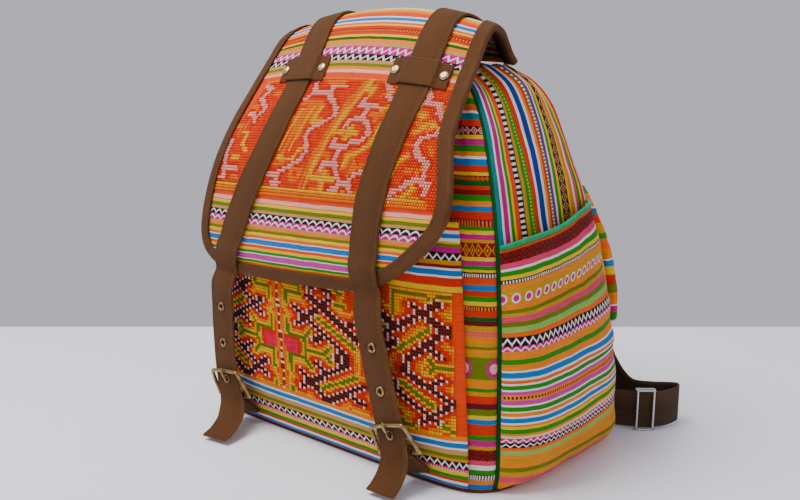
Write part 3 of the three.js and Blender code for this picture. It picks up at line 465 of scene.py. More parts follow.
def smooth_path(points, steps, loop=False):
    """A rounded path through points, with a number of steps between each two."""
    points = np.asarray(points, float)
    if loop:
        p = np.concatenate([points[-1:], points, points[:2]])
    else:
        p = np.concatenate([2 * points[:1] - points[1:2], points, 2 * points[-1:] - points[-2:-1]])
    t = np.linspace(0, 1, steps, endpoint=False)[None, :, None]
    a, b, c, d = (p[i:len(p) - 3 + i, None] for i in range(4))
    curve = 0.5 * (2 * b + (c - a) * t + (2 * a - 5 * b + 4 * c - d) * t**2 + (3 * b - a - 3 * c + d) * t**3)
    curve = curve.reshape(-1, points.shape[1])
    return curve if loop else np.concatenate([curve, points[-1:]])


def circle(radius, sides):
    """A round section of (side, out) points."""
    angle = (np.arange(sides) + 0.5) / sides * 2 * math.pi
    return np.stack([radius * np.cos(angle), radius * np.sin(angle)], -1)


def lay_uv(mesh, uv):
    """Gives a mesh the UV map "cloth" from one UV for each point."""
    corner = np.empty(len(mesh.loops), np.int32)
    mesh.loops.foreach_get("vertex_index", corner)
    mesh.uv_layers.new(name="cloth").data.foreach_set("uv", np.asarray(uv, np.float32)[corner].ravel())


def points_of(mesh):
    """A mesh's points as rows of metres."""
    flat = np.empty(len(mesh.vertices) * 3, np.float32)
    mesh.vertices.foreach_get("co", flat)
    return flat.reshape(-1, 3)


def mesh_of(name, points, faces, uv=None, inside=None, edge=None):
    """A Blender mesh from points in millimetres; its faces are turned to point outwards."""
    points = np.asarray(points, float)
    faces = [list(face) for face in faces]
    volume = 0.0
    for n in {len(face) for face in faces}:
        corners = points[np.array([face for face in faces if len(face) == n])]
        for k in range(1, n - 1):
            volume += np.einsum("ij,ij->", corners[:, 0], np.cross(corners[:, k], corners[:, k + 1]))
    if volume < 0:
        faces = [face[::-1] for face in faces]
    mesh = bpy.data.meshes.new(name)
    mesh.from_pydata((points * MM).tolist(), [], faces)
    if uv is not None:
        lay_uv(mesh, uv)
    if inside is not None:
        mesh.polygons.foreach_set("material_index", np.asarray(inside, np.int32))
    if edge is not None:
        mesh.attributes.new("edge", "FLOAT", "POINT").data.foreach_set("value", np.asarray(edge, np.float32))
    mesh.polygons.foreach_set("use_smooth", np.ones(len(mesh.polygons), bool))
    mesh.update()
    return mesh


def put(name, mesh):
    """Links a mesh, light or camera to the scene as an object at the origin."""
    obj = bpy.data.objects.new(name, mesh)
    bpy.context.scene.collection.objects.link(obj)
    return obj


def piece(name, mesh, materials, slot, *nodes):
    """A finished mesh as a piece that rides on the pack and stands for its solids."""
    obj = put(name, mesh)
    mesh.materials.clear()
    for material in materials:
        mesh.materials.append(material)
    settle(obj, slot, *nodes)
    return obj


def settle(obj, slot, *nodes):
    """Says what a piece rides on and which solids it stands for."""
    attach(obj, "root")
    if nodes:
        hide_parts(*nodes)


def settled_mesh(obj, name):
    """The object with its modifiers applied, as a plain mesh; the object itself is removed."""
    graph = bpy.context.evaluated_depsgraph_get()
    mesh = bpy.data.meshes.new_from_object(obj.evaluated_get(graph), depsgraph=graph)
    mesh.name = name
    bpy.data.objects.remove(obj)
    return mesh


def cut(name, mesh, cutter):
    """The mesh less another closed mesh."""
    body, tool = put(name, mesh), put(f"{name}_cutter", cutter)
    boolean = body.modifiers.new("Cut", "BOOLEAN")
    boolean.operation, boolean.object, boolean.solver = "DIFFERENCE", tool, "EXACT"
    bpy.context.view_layer.update()
    made = settled_mesh(body, name)
    bpy.data.objects.remove(tool)
    return made


def wrinkles(u, v, scale, turn=0.0):
    """Soft irregular waves between -1 and 1 over a cloth, the same each time."""
    a, b = u * math.cos(turn) + v * math.sin(turn), v * math.cos(turn) - u * math.sin(turn)
    a, b = a / scale, b / scale
    return (np.sin(a * 1.7 + 1.3 * np.sin(b * 1.1 + 0.7)) + 0.6 * np.sin(b * 2.9 - 0.8 * np.sin(a * 1.9) + 2.1)
            + 0.4 * np.sin(a * 4.1 + b * 3.3 + 0.4)) / 2.0


# Colours of the yarns, as sRGB hex values

DYES = {
    "black": "0e0912", "white": "f4e9e4", "cream": "f0d8ae", "pearl": "f7b7ab", "salmon": "f27a4e",
    "red": "d9300f", "scarlet": "ee4512", "orange": "f4850f", "gold": "cf9418", "yellow": "f3c51c",
    "olive": "6c7814", "green": "35892a", "forest": "1d5a20", "teal": "1f7f8a", "blue": "3f7fc0",
    "indigo": "29418c", "mauve": "cc5aa2", "magenta": "c4127c", "purple": "7d2b8c", "maroon": "691426",
    "garnet": "8b1b16", "brown": "3a1c14", "tan": "cb9a69", "pink": "e2627c", "rose": "f0184f",
    "emerald": "1f8f5e", "mint": "8cbf6a",
}


def linear(code):
    """An sRGB hex value as a linear colour."""
    value = [int(code[i:i + 2], 16) / 255 for i in (0, 2, 4)]
    return tuple(c / 12.92 if c <= 0.04045 else ((c + 0.055) / 1.055) ** 2.4 for c in value) + (1.0,)


def add(tree, kind, inputs=None, **settings):
    """Adds a node with its settings; each input is a value or the socket it is linked from."""
    node = tree.nodes.new(kind)
    for name, value in settings.items():
        setattr(node, name, value)
    for socket, value in (inputs or {}).items():
        if isinstance(value, bpy.types.NodeSocket):
            tree.links.new(value, node.inputs[socket])
        else:
            node.inputs[socket].default_value = value
    return node


MATH, MIX = "ShaderNodeMath", "ShaderNodeMix"
MOST_STOPS = 31


def stripes(tree, place, table):
    """The yarn colour at a place in millimetres, from rows of (start, dye), in ramps of up to MOST_STOPS."""
    rows = [(float(start), linear(DYES[dye])) for start, dye in table]
    colour = None
    for first in range(0, len(rows), MOST_STOPS):
        chunk = rows[first:first + MOST_STOPS]
        after = first + MOST_STOPS
        low = chunk[0][0]
        high = rows[after][0] if after < len(rows) else chunk[-1][0] + 1
        share = add(tree, "ShaderNodeMapRange", {"Value": place, "From Min": low, "From Max": high})
        ramp = add(tree, "ShaderNodeValToRGB", {"Fac": share.outputs[0]})
        ramp.color_ramp.interpolation = "CONSTANT"
        stops = ramp.color_ramp.elements
        stops.remove(stops[1])
        for i, (start, dye) in enumerate(chunk):
            at = (start - low) / (high - low)
            stop = stops[0] if i == 0 else stops.new(at)
            stop.position, stop.color = at, dye
        if colour is None:
            colour = ramp.outputs["Color"]
        else:
            past = add(tree, MATH, {0: place, 1: low}, operation="GREATER_THAN")
            colour = add(tree, MIX, {"Factor": past.outputs[0], "A": colour, "B": ramp.outputs["Color"]},
                         data_type="RGBA").outputs[2]
    return colour


def motif(kind):
    """A node group that marks a woven motif in a band: zigzag, arches, diamonds, dashes, rings or blooms."""
    name = f"woven {kind}"
    if name in bpy.data.node_groups:
        return bpy.data.node_groups[name]
    tree = bpy.data.node_groups.new(name, "ShaderNodeTree")
    for socket in ("Along", "Up", "Low", "High", "Pitch"):
        tree.interface.new_socket(socket, in_out="INPUT", socket_type="NodeSocketFloat")
    tree.interface.new_socket("Mask", in_out="OUTPUT", socket_type="NodeSocketFloat")
    given = add(tree, "NodeGroupInput").outputs
    half = add(tree, MATH, {0: given["Pitch"], 1: 0.5}, operation="MULTIPLY").outputs[0]
    swing = add(tree, MATH, {0: given["Along"], 1: half}, operation="PINGPONG").outputs[0]
    swing = add(tree, MATH, {0: swing, 1: half}, operation="DIVIDE").outputs[0]
    tall = add(tree, MATH, {0: given["High"], 1: given["Low"]}, operation="SUBTRACT").outputs[0]
    rise = add(tree, MATH, {0: given["Up"], 1: given["Low"]}, operation="SUBTRACT").outputs[0]
    rise = add(tree, MATH, {0: rise, 1: tall}, operation="DIVIDE").outputs[0]
    off = add(tree, MATH, {0: rise, 1: 0.5}, operation="SUBTRACT").outputs[0]
    inside = add(tree, MATH, {0: off, 1: 0.0, 2: 0.5}, operation="COMPARE").outputs[0]
    if kind == "zigzag":
        line = add(tree, MATH, {0: swing, 1: 0.7, 2: 0.15}, operation="MULTIPLY_ADD").outputs[0]
        mark = add(tree, MATH, {0: rise, 1: line, 2: 0.17}, operation="COMPARE").outputs[0]
    elif kind == "arches":
        bend = add(tree, MATH, {0: swing, 1: math.pi / 2}, operation="MULTIPLY").outputs[0]
        bend = add(tree, MATH, {0: bend}, operation="SINE").outputs[0]
        line = add(tree, MATH, {0: bend, 1: 0.65, 2: 0.15}, operation="MULTIPLY_ADD").outputs[0]
        mark = add(tree, MATH, {0: rise, 1: line, 2: 0.18}, operation="COMPARE").outputs[0]
    elif kind == "dashes":
        mark = add(tree, MATH, {0: swing, 1: 0.5}, operation="GREATER_THAN").outputs[0]
    elif kind == "diamonds":
        reach = add(tree, MATH, {0: off}, operation="ABSOLUTE").outputs[0]
        reach = add(tree, MATH, {0: reach, 1: 2.0, 2: swing}, operation="MULTIPLY_ADD").outputs[0]
        core = add(tree, MATH, {0: reach, 1: 0.3}, operation="LESS_THAN").outputs[0]
        line = add(tree, MATH, {0: reach, 1: 0.85, 2: 0.16}, operation="COMPARE").outputs[0]
        mark = add(tree, MATH, {0: core, 1: line}, operation="MAXIMUM").outputs[0]
    else:
        wide = add(tree, MATH, {0: given["Pitch"], 1: tall}, operation="DIVIDE").outputs[0]
        aside = add(tree, MATH, {0: swing, 1: wide}, operation="MULTIPLY").outputs[0]
        flat = add(tree, "ShaderNodeCombineXYZ", {0: aside, 1: add(
            tree, MATH, {0: off, 1: 2.0}, operation="MULTIPLY").outputs[0]}).outputs[0]
        reach = add(tree, "ShaderNodeVectorMath", {0: flat}, operation="LENGTH").outputs["Value"]
        middle, thick = (0.72, 0.2) if kind == "rings" else (0.3, 0.3)
        mark = add(tree, MATH, {0: reach, 1: middle, 2: thick}, operation="COMPARE").outputs[0]
    mask = add(tree, MATH, {0: mark, 1: inside}, operation="MULTIPLY").outputs[0]
    add(tree, "NodeGroupOutput", {"Mask": mask})
    return tree


def new_material(name):
    """An empty node material and its tree."""
    material = bpy.data.materials.new(name)
    material.use_nodes = True
    material.node_tree.nodes.clear()
    return material, material.node_tree


def weave_bump(tree, u, v, pitch, depth):
    """The relief of a plain weave: warp and weft crowns at a pitch in millimetres, roughened by noise."""
    turns = 2 * math.pi / pitch
    warp = add(tree, MATH, {0: add(tree, MATH, {0: u, 1: turns}, operation="MULTIPLY").outputs[0]},
               operation="SINE").outputs[0]
    weft = add(tree, MATH, {0: add(tree, MATH, {0: v, 1: turns}, operation="MULTIPLY").outputs[0]},
               operation="SINE").outputs[0]
    crowns = add(tree, MATH, {0: warp, 1: weft}, operation="MULTIPLY").outputs[0]
    object_place = add(tree, "ShaderNodeTexCoord").outputs["Object"]
    fuzz = add(tree, "ShaderNodeTexNoise", {"Vector": object_place, "Scale": 900.0, "Detail": 3.0}).outputs[0]
    height = add(tree, MATH, {0: fuzz, 1: 1.4, 2: crowns}, operation="MULTIPLY_ADD").outputs[0]
    return add(tree, "ShaderNodeBump", {"Height": height, "Distance": depth * MM, "Strength": 0.9}).outputs[0]


def yarn_tone(tree, colour, u, v, along_u):
    """The colour with the unevenness of handspun yarn: streaks along each thread and slow drifts."""
    squeezed = add(tree, "ShaderNodeCombineXYZ", {
        0: add(tree, MATH, {0: u, 1: 0.06 if along_u else 1.1}, operation="MULTIPLY").outputs[0],
        1: add(tree, MATH, {0: v, 1: 1.1 if along_u else 0.06}, operation="MULTIPLY").outputs[0]}).outputs[0]
    streak = add(tree, "ShaderNodeTexNoise", {"Vector": squeezed, "Scale": 1.0, "Detail": 3.0}).outputs[0]
    tone = add(tree, "ShaderNodeMapRange", {
        "Value": streak, "From Min": 0.25, "From Max": 0.75, "To Min": 0.78, "To Max": 1.16}).outputs[0]
    place = add(tree, "ShaderNodeTexCoord").outputs["Object"]
    drift = add(tree, "ShaderNodeTexNoise", {"Vector": place, "Scale": 26.0, "Detail": 2.0}).outputs[0]
    tone = add(tree, MATH, {0: drift, 1: 0.22, 2: tone}, operation="MULTIPLY_ADD").outputs[0]
    tone = add(tree, MATH, {0: tone, 1: 0.11}, operation="SUBTRACT").outputs[0]
    return add(tree, "ShaderNodeHueSaturation", {"Color": colour, "Value": tone, "Saturation": 1.12}).outputs[0]


def woven(name, table, motifs=(), across=False, pitch=1.7):
    """Hand-loomed cotton: stripes of dyed yarn with motif bands woven in, matt with a soft nap.

    The stripes follow the cloth's v, or its u where across is set. Each motif is (kind, low, high, pitch,
    dye). Real yarns here are about 0.6 mm; they are drawn near 1.7 mm so that the rib shows.
    """
    material, tree = new_material(name)
    cloth = add(tree, "ShaderNodeSeparateXYZ", {
        0: add(tree, "ShaderNodeUVMap", uv_map="cloth").outputs[0]}).outputs
    u, v = cloth[0], cloth[1]
    along, up = (v, u) if across else (u, v)
    waver = add(tree, "ShaderNodeCombineXYZ", {0: add(
        tree, MATH, {0: along, 1: 0.05}, operation="MULTIPLY").outputs[0]}).outputs[0]
    waver = add(tree, "ShaderNodeTexNoise", {"Vector": waver, "Scale": 1.0, "Detail": 2.0}).outputs[0]
    up = add(tree, MATH, {0: waver, 1: 1.6, 2: up}, operation="MULTIPLY_ADD").outputs[0]
    up = add(tree, MATH, {0: up, 1: 0.8}, operation="SUBTRACT").outputs[0]
    colour = stripes(tree, up, table)
    for kind, low, high, repeat, dye in motifs:
        group = add(tree, "ShaderNodeGroup", node_tree=motif(kind))
        tree.links.new(along, group.inputs["Along"])
        tree.links.new(up, group.inputs["Up"])
        for socket, value in (("Low", low), ("High", high), ("Pitch", repeat)):
            group.inputs[socket].default_value = value
        colour = add(tree, MIX, {"Factor": group.outputs[0], "A": colour, "B": linear(DYES[dye])},
                     data_type="RGBA").outputs[2]
    colour = yarn_tone(tree, colour, u, v, not across)
    bump = weave_bump(tree, u, v, pitch, 0.35)
    shader = add(tree, "ShaderNodeBsdfPrincipled", {
        "Base Color": colour, "Normal": bump, "Roughness": 0.86, "Sheen Weight": 0.05,
        "Sheen Roughness": 0.5, "Specular IOR Level": 0.15})
    add(tree, "ShaderNodeOutputMaterial", {0: shader.outputs[0]})
    return material


def canvas(name, colour, pitch=1.3, worn=0.35):
    """Dyed cotton canvas: a firm plain weave, washed paler where edges and folds rub."""
    material, tree = new_material(name)
    cloth = add(tree, "ShaderNodeSeparateXYZ", {
        0: add(tree, "ShaderNodeUVMap", uv_map="cloth").outputs[0]}).outputs
    edge = add(tree, "ShaderNodeAttribute", attribute_name="edge").outputs["Fac"]
    place = add(tree, "ShaderNodeTexCoord").outputs["Object"]
    rubbed = add(tree, "ShaderNodeTexNoise", {"Vector": place, "Scale": 60.0, "Detail": 6.0}).outputs[0]
    rubbed = add(tree, "ShaderNodeMapRange", {
        "Value": rubbed, "From Min": 0.35, "From Max": 0.65, "To Min": 0.3, "To Max": 1.0}).outputs[0]
    wear = add(tree, MATH, {0: edge, 1: rubbed}, operation="MULTIPLY").outputs[0]
    wear = add(tree, MATH, {0: wear, 1: worn}, operation="MULTIPLY").outputs[0]
    pale = tuple(min(1, c * 2.6 + 0.03) for c in colour[:3]) + (1,)
    tone = add(tree, MIX, {"Factor": wear, "A": colour, "B": pale}, data_type="RGBA").outputs[2]
    tone = yarn_tone(tree, tone, cloth[0], cloth[1], False)
    bump = weave_bump(tree, cloth[0], cloth[1], pitch, 0.28)
    shader = add(tree, "ShaderNodeBsdfPrincipled", {
        "Base Color": tone, "Normal": bump, "Roughness": 0.82, "Sheen Weight": 0.03,
        "Sheen Roughness": 0.5, "Specular IOR Level": 0.2})
    add(tree, "ShaderNodeOutputMaterial", {0: shader.outputs[0]})
    return material


def yarn(name, colour=None, rough=0.75, sheen=0.05):
    """Stranded cotton thread, lightly lustrous; its colour is set, or is each stitch's own "dye"."""
    material, tree = new_material(name)
    place = add(tree, "ShaderNodeTexCoord").outputs["Object"]
    twist = add(tree, "ShaderNodeTexNoise", {"Vector": place, "Scale": 1400.0, "Detail": 2.0}).outputs[0]
    bump = add(tree, "ShaderNodeBump", {"Height": twist, "Distance": 0.25 * MM, "Strength": 0.7}).outputs[0]
    shade = add(tree, "ShaderNodeTexNoise", {"Vector": place, "Scale": 220.0, "Detail": 3.0}).outputs[0]
    shade = add(tree, "ShaderNodeMapRange", {
        "Value": shade, "From Min": 0.3, "From Max": 0.7, "To Min": 0.82, "To Max": 1.12}).outputs[0]
    base = colour or add(tree, "ShaderNodeAttribute", attribute_name="dye").outputs["Color"]
    tone = add(tree, "ShaderNodeHueSaturation", {"Color": base, "Value": shade, "Saturation": 1.12}).outputs[0]
    shader = add(tree, "ShaderNodeBsdfPrincipled", {
        "Base Color": tone, "Normal": bump, "Roughness": rough, "Sheen Weight": sheen,
        "Sheen Roughness": 0.4, "Specular IOR Level": 0.2})
    add(tree, "ShaderNodeOutputMaterial", {0: shader.outputs[0]})
    return material


def metal(name, bright, dark, rough, tarnish):
    """Plated metal, tumbled and handled: darker oxide in patches, brighter where it is rubbed."""
    material, tree = new_material(name)
    place = add(tree, "ShaderNodeTexCoord").outputs["Object"]
    patches = add(tree, "ShaderNodeTexNoise", {"Vector": place, "Scale": 170.0, "Detail": 7.0}).outputs[0]
    patches = add(tree, "ShaderNodeMapRange", {
        "Value": patches, "From Min": 0.4, "From Max": 0.66, "To Min": 0.0, "To Max": tarnish}).outputs[0]
    colour = add(tree, MIX, {"Factor": patches, "A": bright, "B": dark}, data_type="RGBA").outputs[2]
    dull = add(tree, MATH, {0: patches, 1: 0.3, 2: rough}, operation="MULTIPLY_ADD").outputs[0]
    grain = add(tree, "ShaderNodeTexNoise", {"Vector": place, "Scale": 1500.0, "Detail": 4.0}).outputs[0]
    bump = add(tree, "ShaderNodeBump", {"Height": grain, "Distance": 0.06 * MM, "Strength": 0.5}).outputs[0]
    shader = add(tree, "ShaderNodeBsdfPrincipled", {
        "Base Color": colour, "Roughness": dull, "Normal": bump, "Metallic": 1.0})
    add(tree, "ShaderNodeOutputMaterial", {0: shader.outputs[0]})
    return material


def bands(text):
    """Rows of (start, dye) from text such as "0 red 4 white"."""
    words = text.split()
    return list(zip(map(float, words[::2]), words[1::2]))


# Woven stripes, each with the millimetre where it starts. Flap: from its lower edge up over the top.

FLAP_STRIPES = bands("""
0 salmon 12 yellow 13 green 15.5 white 16.5 mauve 21.5 white 22.7 green 25.5 yellow 27.3 scarlet 29.8 white
31.1 blue 35.3 white 36.4 salmon 38.5 yellow 41 olive 44 orange 46 tan 48 magenta 53 black 58.5 tan 61 olive
64.5 yellow 66.5 salmon 68 pearl 71 scarlet 191.7 scarlet 196.7 pearl 200.2 orange 203.7 olive 207.2 tan
210.2 black 217.7 magenta 226.7 tan 230.7 orange 234.7 forest 237.7 yellow 240.7 red 243.7 garnet 247.7 red
251.7 yellow 253.7 salmon 256.7 white 258.7 blue 262.7 white 264.7 scarlet 270.7 orange 274.7 yellow
279.7 white 283.7 green 287.7 white 290 salmon 295 red 300 white 302 blue 307 white 309 yellow 313 olive
317 orange 321 white 323 mauve 328 white 330 green 334 yellow 337 red 343 white 345 teal 350 orange""")
FLAP_MOTIFS = [
    ("arches", 48.3, 53, 9.5, "white"), ("arches", 53.4, 58.2, 9.5, "white"),
    ("zigzag", 210.4, 217.4, 9, "white"), ("zigzag", 218, 226.2, 9, "white"),
    ("dashes", 244.5, 247, 3.4, "orange")]
POCKET_STRIPES = bands("""
0 red 5 blue 7.5 white 10 red 13 green 16.5 yellow 19.5 magenta 22 black 29 gold 31 olive 35 tan 39 white
41 blue 45 white 47 orange 51 scarlet 173 yellow 177.5 red 184 white 186 blue 190 white 192 garnet 195 gold
198 black 204.5 magenta 208.5 olive 211 yellow 213.5 white 215.5 blue 219.5 white 222 red 225 yellow""")
POCKET_MOTIFS = [("zigzag", 22.3, 28.8, 8, "white"), ("zigzag", 198.3, 204.2, 8, "white"),
                 ("dashes", 19.8, 21.8, 3, "pearl")]
GUSSET_STRIPES = bands("""
0 red 3 blue 8 orange 12.5 black 17.5 green 22 white 26 pink 30 garnet 40 gold 43 magenta 48 green 52.5 red
62 blue 66.5 yellow 70 olive 75 maroon 80 red 86.5 gold 90 green 93.5 orange 97.5 gold 101 olive 119.5 gold
123.5 orange 126 olive 128.5 gold 132 orange 137 pink 141.5 gold 146 maroon 150 forest 153.5 red 158.5 maroon
162.5 yellow 166 green 170 red 175 blue 179.5 scarlet 185 black 189.5 yellow 192 green 195 magenta 199 yellow
202 garnet 213.5 gold 216 magenta 220 yellow 223 green 226 maroon 232 red 238 blue 242 orange 246 green
251 garnet 255 red 258 forest 262 garnet 266 yellow 269 red 274 blue 279 white 281 orange 285 green 290 magenta
295 yellow 298 maroon 305 red 310 teal 315 white 317 salmon 322 green 327 orange 333 garnet 340 yellow 345 red""")
GUSSET_MOTIFS = [
    ("diamonds", 30.5, 40, 8, "black"), ("dashes", 12.6, 17.3, 3, "white"),
    ("blooms", 102, 119, 34, "pearl"), ("rings", 102, 119, 34, "magenta"),
    ("dashes", 185.8, 188.8, 3, "white"), ("diamonds", 202.2, 213.2, 9, "gold"),
    ("dashes", 158.8, 162, 3.4, "orange"), ("dashes", 226.6, 231.4, 4, "salmon"),
    ("dashes", 97.8, 100.4, 2.6, "orange"), ("diamonds", 137, 141.5, 5, "orange"),
    ("diamonds", 262.5, 265.8, 5, "gold"), ("diamonds", 298.4, 304.6, 8, "pearl")]
# Side panel: from its front seam back.
SIDE_STRIPES = bands("""
0 forest 3 teal 8 white 10.3 magenta 16 white 18.5 green 22.5 yellow 25 scarlet 30.5 black 39 gold 44 green
53 red 59 white 62 indigo 69.5 white 73 orange 76.5 red 79 green 82 purple 85.5 white 88 green 92.5 yellow
96 brown 108 yellow 111 orange 118 white 121 pink 126 green 131 yellow 135 red 141 white 144 blue 150 white
153 red 158 green 164 yellow 168 orange 174 magenta 179 white 182 forest""")
SIDE_MOTIFS = [("dashes", 31.5, 38, 4.6, "white"), ("diamonds", 96.5, 107.6, 8, "tan"),
               ("dashes", 79.4, 81.6, 3, "white"), ("dashes", 49, 51, 3, "yellow")]
SIDE_POCKET_STRIPES = bands("""
0 salmon 5 orange 12 pink 17 gold 21 olive 25 orange 29 gold 33 orange 36 mint 40 salmon 43 black 47 magenta
51 cream 53 orange 55 green 59 yellow 61 orange 63 white 64.5 blue 68.5 white 70 orange 73 white 74.5 green
78.5 white 80 mauve 84 orange 88.5 mauve 91.5 white 93 green 96.5 white 98 salmon 101 white 102.5 blue
107.5 white 109 orange 114 green 118.5 orange 125 magenta 129.5 black 137 salmon 141 mint 145 olive 149 pink
153 gold 156 olive 159 orange 163 gold 176 orange 180 black 183 yellow 186 green 190 white 192 pink 196 garnet
205 salmon 209 white 212 orange 217 garnet 222 yellow""")
SIDE_POCKET_MOTIFS = [
    ("zigzag", 43.2, 46.8, 6, "white"), ("zigzag", 47, 51, 6, "white"), ("dashes", 85.2, 87.4, 3, "brown"),
    ("zigzag", 125, 129.3, 7, "white"), ("zigzag", 129.8, 136.7, 7, "white"),
    ("rings", 163.6, 172.6, 12, "white"), ("blooms", 163.6, 172.6, 12, "magenta"),
    ("dashes", 180.4, 182.6, 2.8, "white"), ("diamonds", 196.2, 204.8, 9, "black")]
PAD_STRIPES = bands("""
0 orange 8 green 14 white 17 salmon 26 gold 33 red 40 white 42 blue 47 orange 58 green 64 yellow 70 salmon
80 magenta 85 white 88 olive 96 orange 108 white 110 teal 116 red 124 gold 134 green 140 salmon 150 orange
160 white 162 blue 168 yellow 176 red 186 olive 194 orange 206 white 208 magenta 214 green 222 salmon""")


# The sack's panels

PANELS = {
    "front_panel": (-FRONT_SEAM, SIDE_START, 150),
    "side_panel_right": (SIDE_START, SIDE_END, 110),
    "back_panel": (SIDE_END, LEFT_START, 120),
    "side_panel_left": (LEFT_START, GIRTH - FRONT_SEAM, 110),
}


def panel_mesh(name):
    """One panel of the sack: its seat drawn in at the seams, slack between them and gathered at the neck."""
    start, end, columns = PANELS[name]
    share, up = np.meshgrid(np.linspace(0, 1, columns), np.linspace(0, 1, 130))
    distance = mix(start + SEAM_GAP, end - SEAM_GAP, share)
    seat = body_point(direction_at(distance), up)
    z = seat[..., 2]
    sewn = np.minimum(distance - start, end - distance)
    slack = 0.25 + 1.5 * smooth(0.45, 0.85, up)
    sink = slack * (1 + wrinkles(distance, z, 26, 0.5)) / 2 + 1.1 * np.exp(-sewn / 2.2)
    draw = 0.9 * smooth(0.72, 1, up) * (1 + np.cos(distance / 3.4 + 1.5 * np.sin(distance / 19)))
    outer = seat - normals(seat) * (sink + draw)[..., None]
    inner = outer - normals(seat) * CLOTH
    if name == "side_panel_right":
        u = distance - SIDE_START
    elif name == "side_panel_left":
        u = GIRTH - FRONT_SEAM - distance
    else:
        u = distance
    return mesh_of(name, *shell(outer, inner, np.stack([u, z], -1)))


def pocket_place(s, t):
    """A place on the front pocket's face, and that face's normal."""
    small = 1e-3
    seat = pocket_surface(s, t)
    across = pocket_surface(s + small, t) - pocket_surface(s - small, t)
    rising = pocket_surface(s, t + small) - pocket_surface(s, t - small)
    face = unit(np.cross(across, rising))
    slack = 0.5 * (1 + wrinkles(s * 167, t * 224, 34, 0.3)) * smooth(0, 0.2, t) * (1 - np.abs(s) ** 6)
    return seat + face * (pocket_loft(s, t) + CLOTH - slack)[..., None], face


def front_pocket_mesh():
    """The front pocket, with the groove of its hem below the mouth."""
    s, t = np.meshgrid(np.linspace(-1, 1, 161), np.linspace(0.0, 1, 121))
    outer, face = pocket_place(s, t)
    hem = 0.5 * np.exp(-(((1 - t) * 224 - 5) / 1.2) ** 2)
    outer = outer - face * hem[..., None]
    inner = outer - face * (CLOTH - 0.2)
    u = s * (POCKET_WIDTH / 2 - POCKET_TAPER * t)
    v = mix(POCKET_FOOT, POCKET_TOP, t)
    return mesh_of("front_pocket", *shell(outer, inner, np.stack([u, v], -1)))


def side_pocket_grid(side):
    """A side pocket's outer and inner grids and UVs, gathered to the back seam and sagging at the mouth."""
    back = 1 if side == "right" else -1
    start, end = (SIDE_START, SIDE_END) if side == "right" else (LEFT_START, GIRTH - FRONT_SEAM)
    surface, loft = side_pocket(start, end, back)
    s, t = np.meshgrid(np.linspace(0, 1, 131), np.linspace(0, 1, 131))
    seat = surface(s, t)
    face = normals(seat)
    rear = s if back > 0 else 1 - s
    edge = 1 - np.abs(2 * s - 1) ** 4
    gathers = 2.1 * smooth(0.45, 1, rear) * np.sin(t * 34 + rear * 5 + 1.1 * np.sin(t * 13)) * (rear < 0.999)
    sag = 1.5 * wrinkles(rear * 190, t * 200, 38, -0.45)
    droop = 1.6 * np.exp(-((t - 0.79) / 0.035) ** 2)
    full = loft(s, t) + CLOTH
    spare = np.minimum(1, (full - CLOTH - SEAT_GAP) / 8)
    off = full + np.clip(gathers + sag - 1.6 - droop, -5, 0.6) * spare * edge
    outer = seat + face * off[..., None]
    outer[..., 2] += 1.6 * np.sin(rear * 9 + 0.6) * smooth(0.75, 1, t) * edge
    u = mix(start, end, s) - start if back > 0 else end - mix(start, end, s)
    v = np.broadcast_to(mix(POCKET_FOOT, SIDE_POCKET_TOP, t), u.shape)
    return outer, outer - face * CLOTH, np.stack([u, v], -1)


# The flap and its binding

LEAN_FROM, LEAN_TO = (84, -20), (193, 17)


def lean(v):
    """How far the cloth's own middle lies aside on the flap: it was cut a little off the straight grain."""
    return LEAN_FROM[1] + (v - LEAN_FROM[0]) * (LEAN_TO[1] - LEAN_FROM[1]) / (LEAN_TO[0] - LEAN_FROM[0])


def flap_face(x, t):
    """A place on the flap's face and its normal, with the slight quilting of the embroidered cloth."""
    face = flap_facing(x, t)
    slack = 0.25 * (1 + wrinkles(x, t * FLAP_LENGTH, 22, 0.4))
    return flap_point(x, t) - face * slack[..., None], face


def flap_mesh():
    """The flap's closed wall; its UVs follow the cloth's own leaning middle."""
    s, t = np.meshgrid(np.linspace(-1, 1, 121), np.r_[np.linspace(0, 0.03, 12)[:-1], np.linspace(0.03, 1, 180)])
    x = s * flap_half(s, t)
    outer, face = flap_face(x, t)
    inner = flap_point(x, t) - face * FLAP_CLOTH
    v = t * FLAP_LENGTH
    return mesh_of("flap", *shell(outer, inner, np.stack([x - lean(v), v], -1)))


def flap_rim():
    """The flap's edge from its back left corner round the front to its back right corner, as (x, up the cloth)."""
    def side(s, radius):
        """One rounded corner and the straight run behind it."""
        turn = np.linspace(0, math.pi / 2, 40)
        run = np.r_[radius * (1 - np.cos(turn)), np.linspace(radius, FLAP_LENGTH, 130)[1:]]
        return np.stack([s * flap_half(np.full(run.shape, s), run / FLAP_LENGTH), run], -1)

    left, right = side(-1.0, CORNER_LEFT)[::-1], side(1.0, CORNER_RIGHT)
    front = np.linspace(left[-1], right[0], 60)[1:-1]
    return np.concatenate([left, front, right])


def on_flap(x, run):
    """The flap's outer face and normal, by millimetres across and up the cloth."""
    t = np.clip(run / FLAP_LENGTH, 0, 1)
    return flap_point(x, t), flap_facing(x, t)


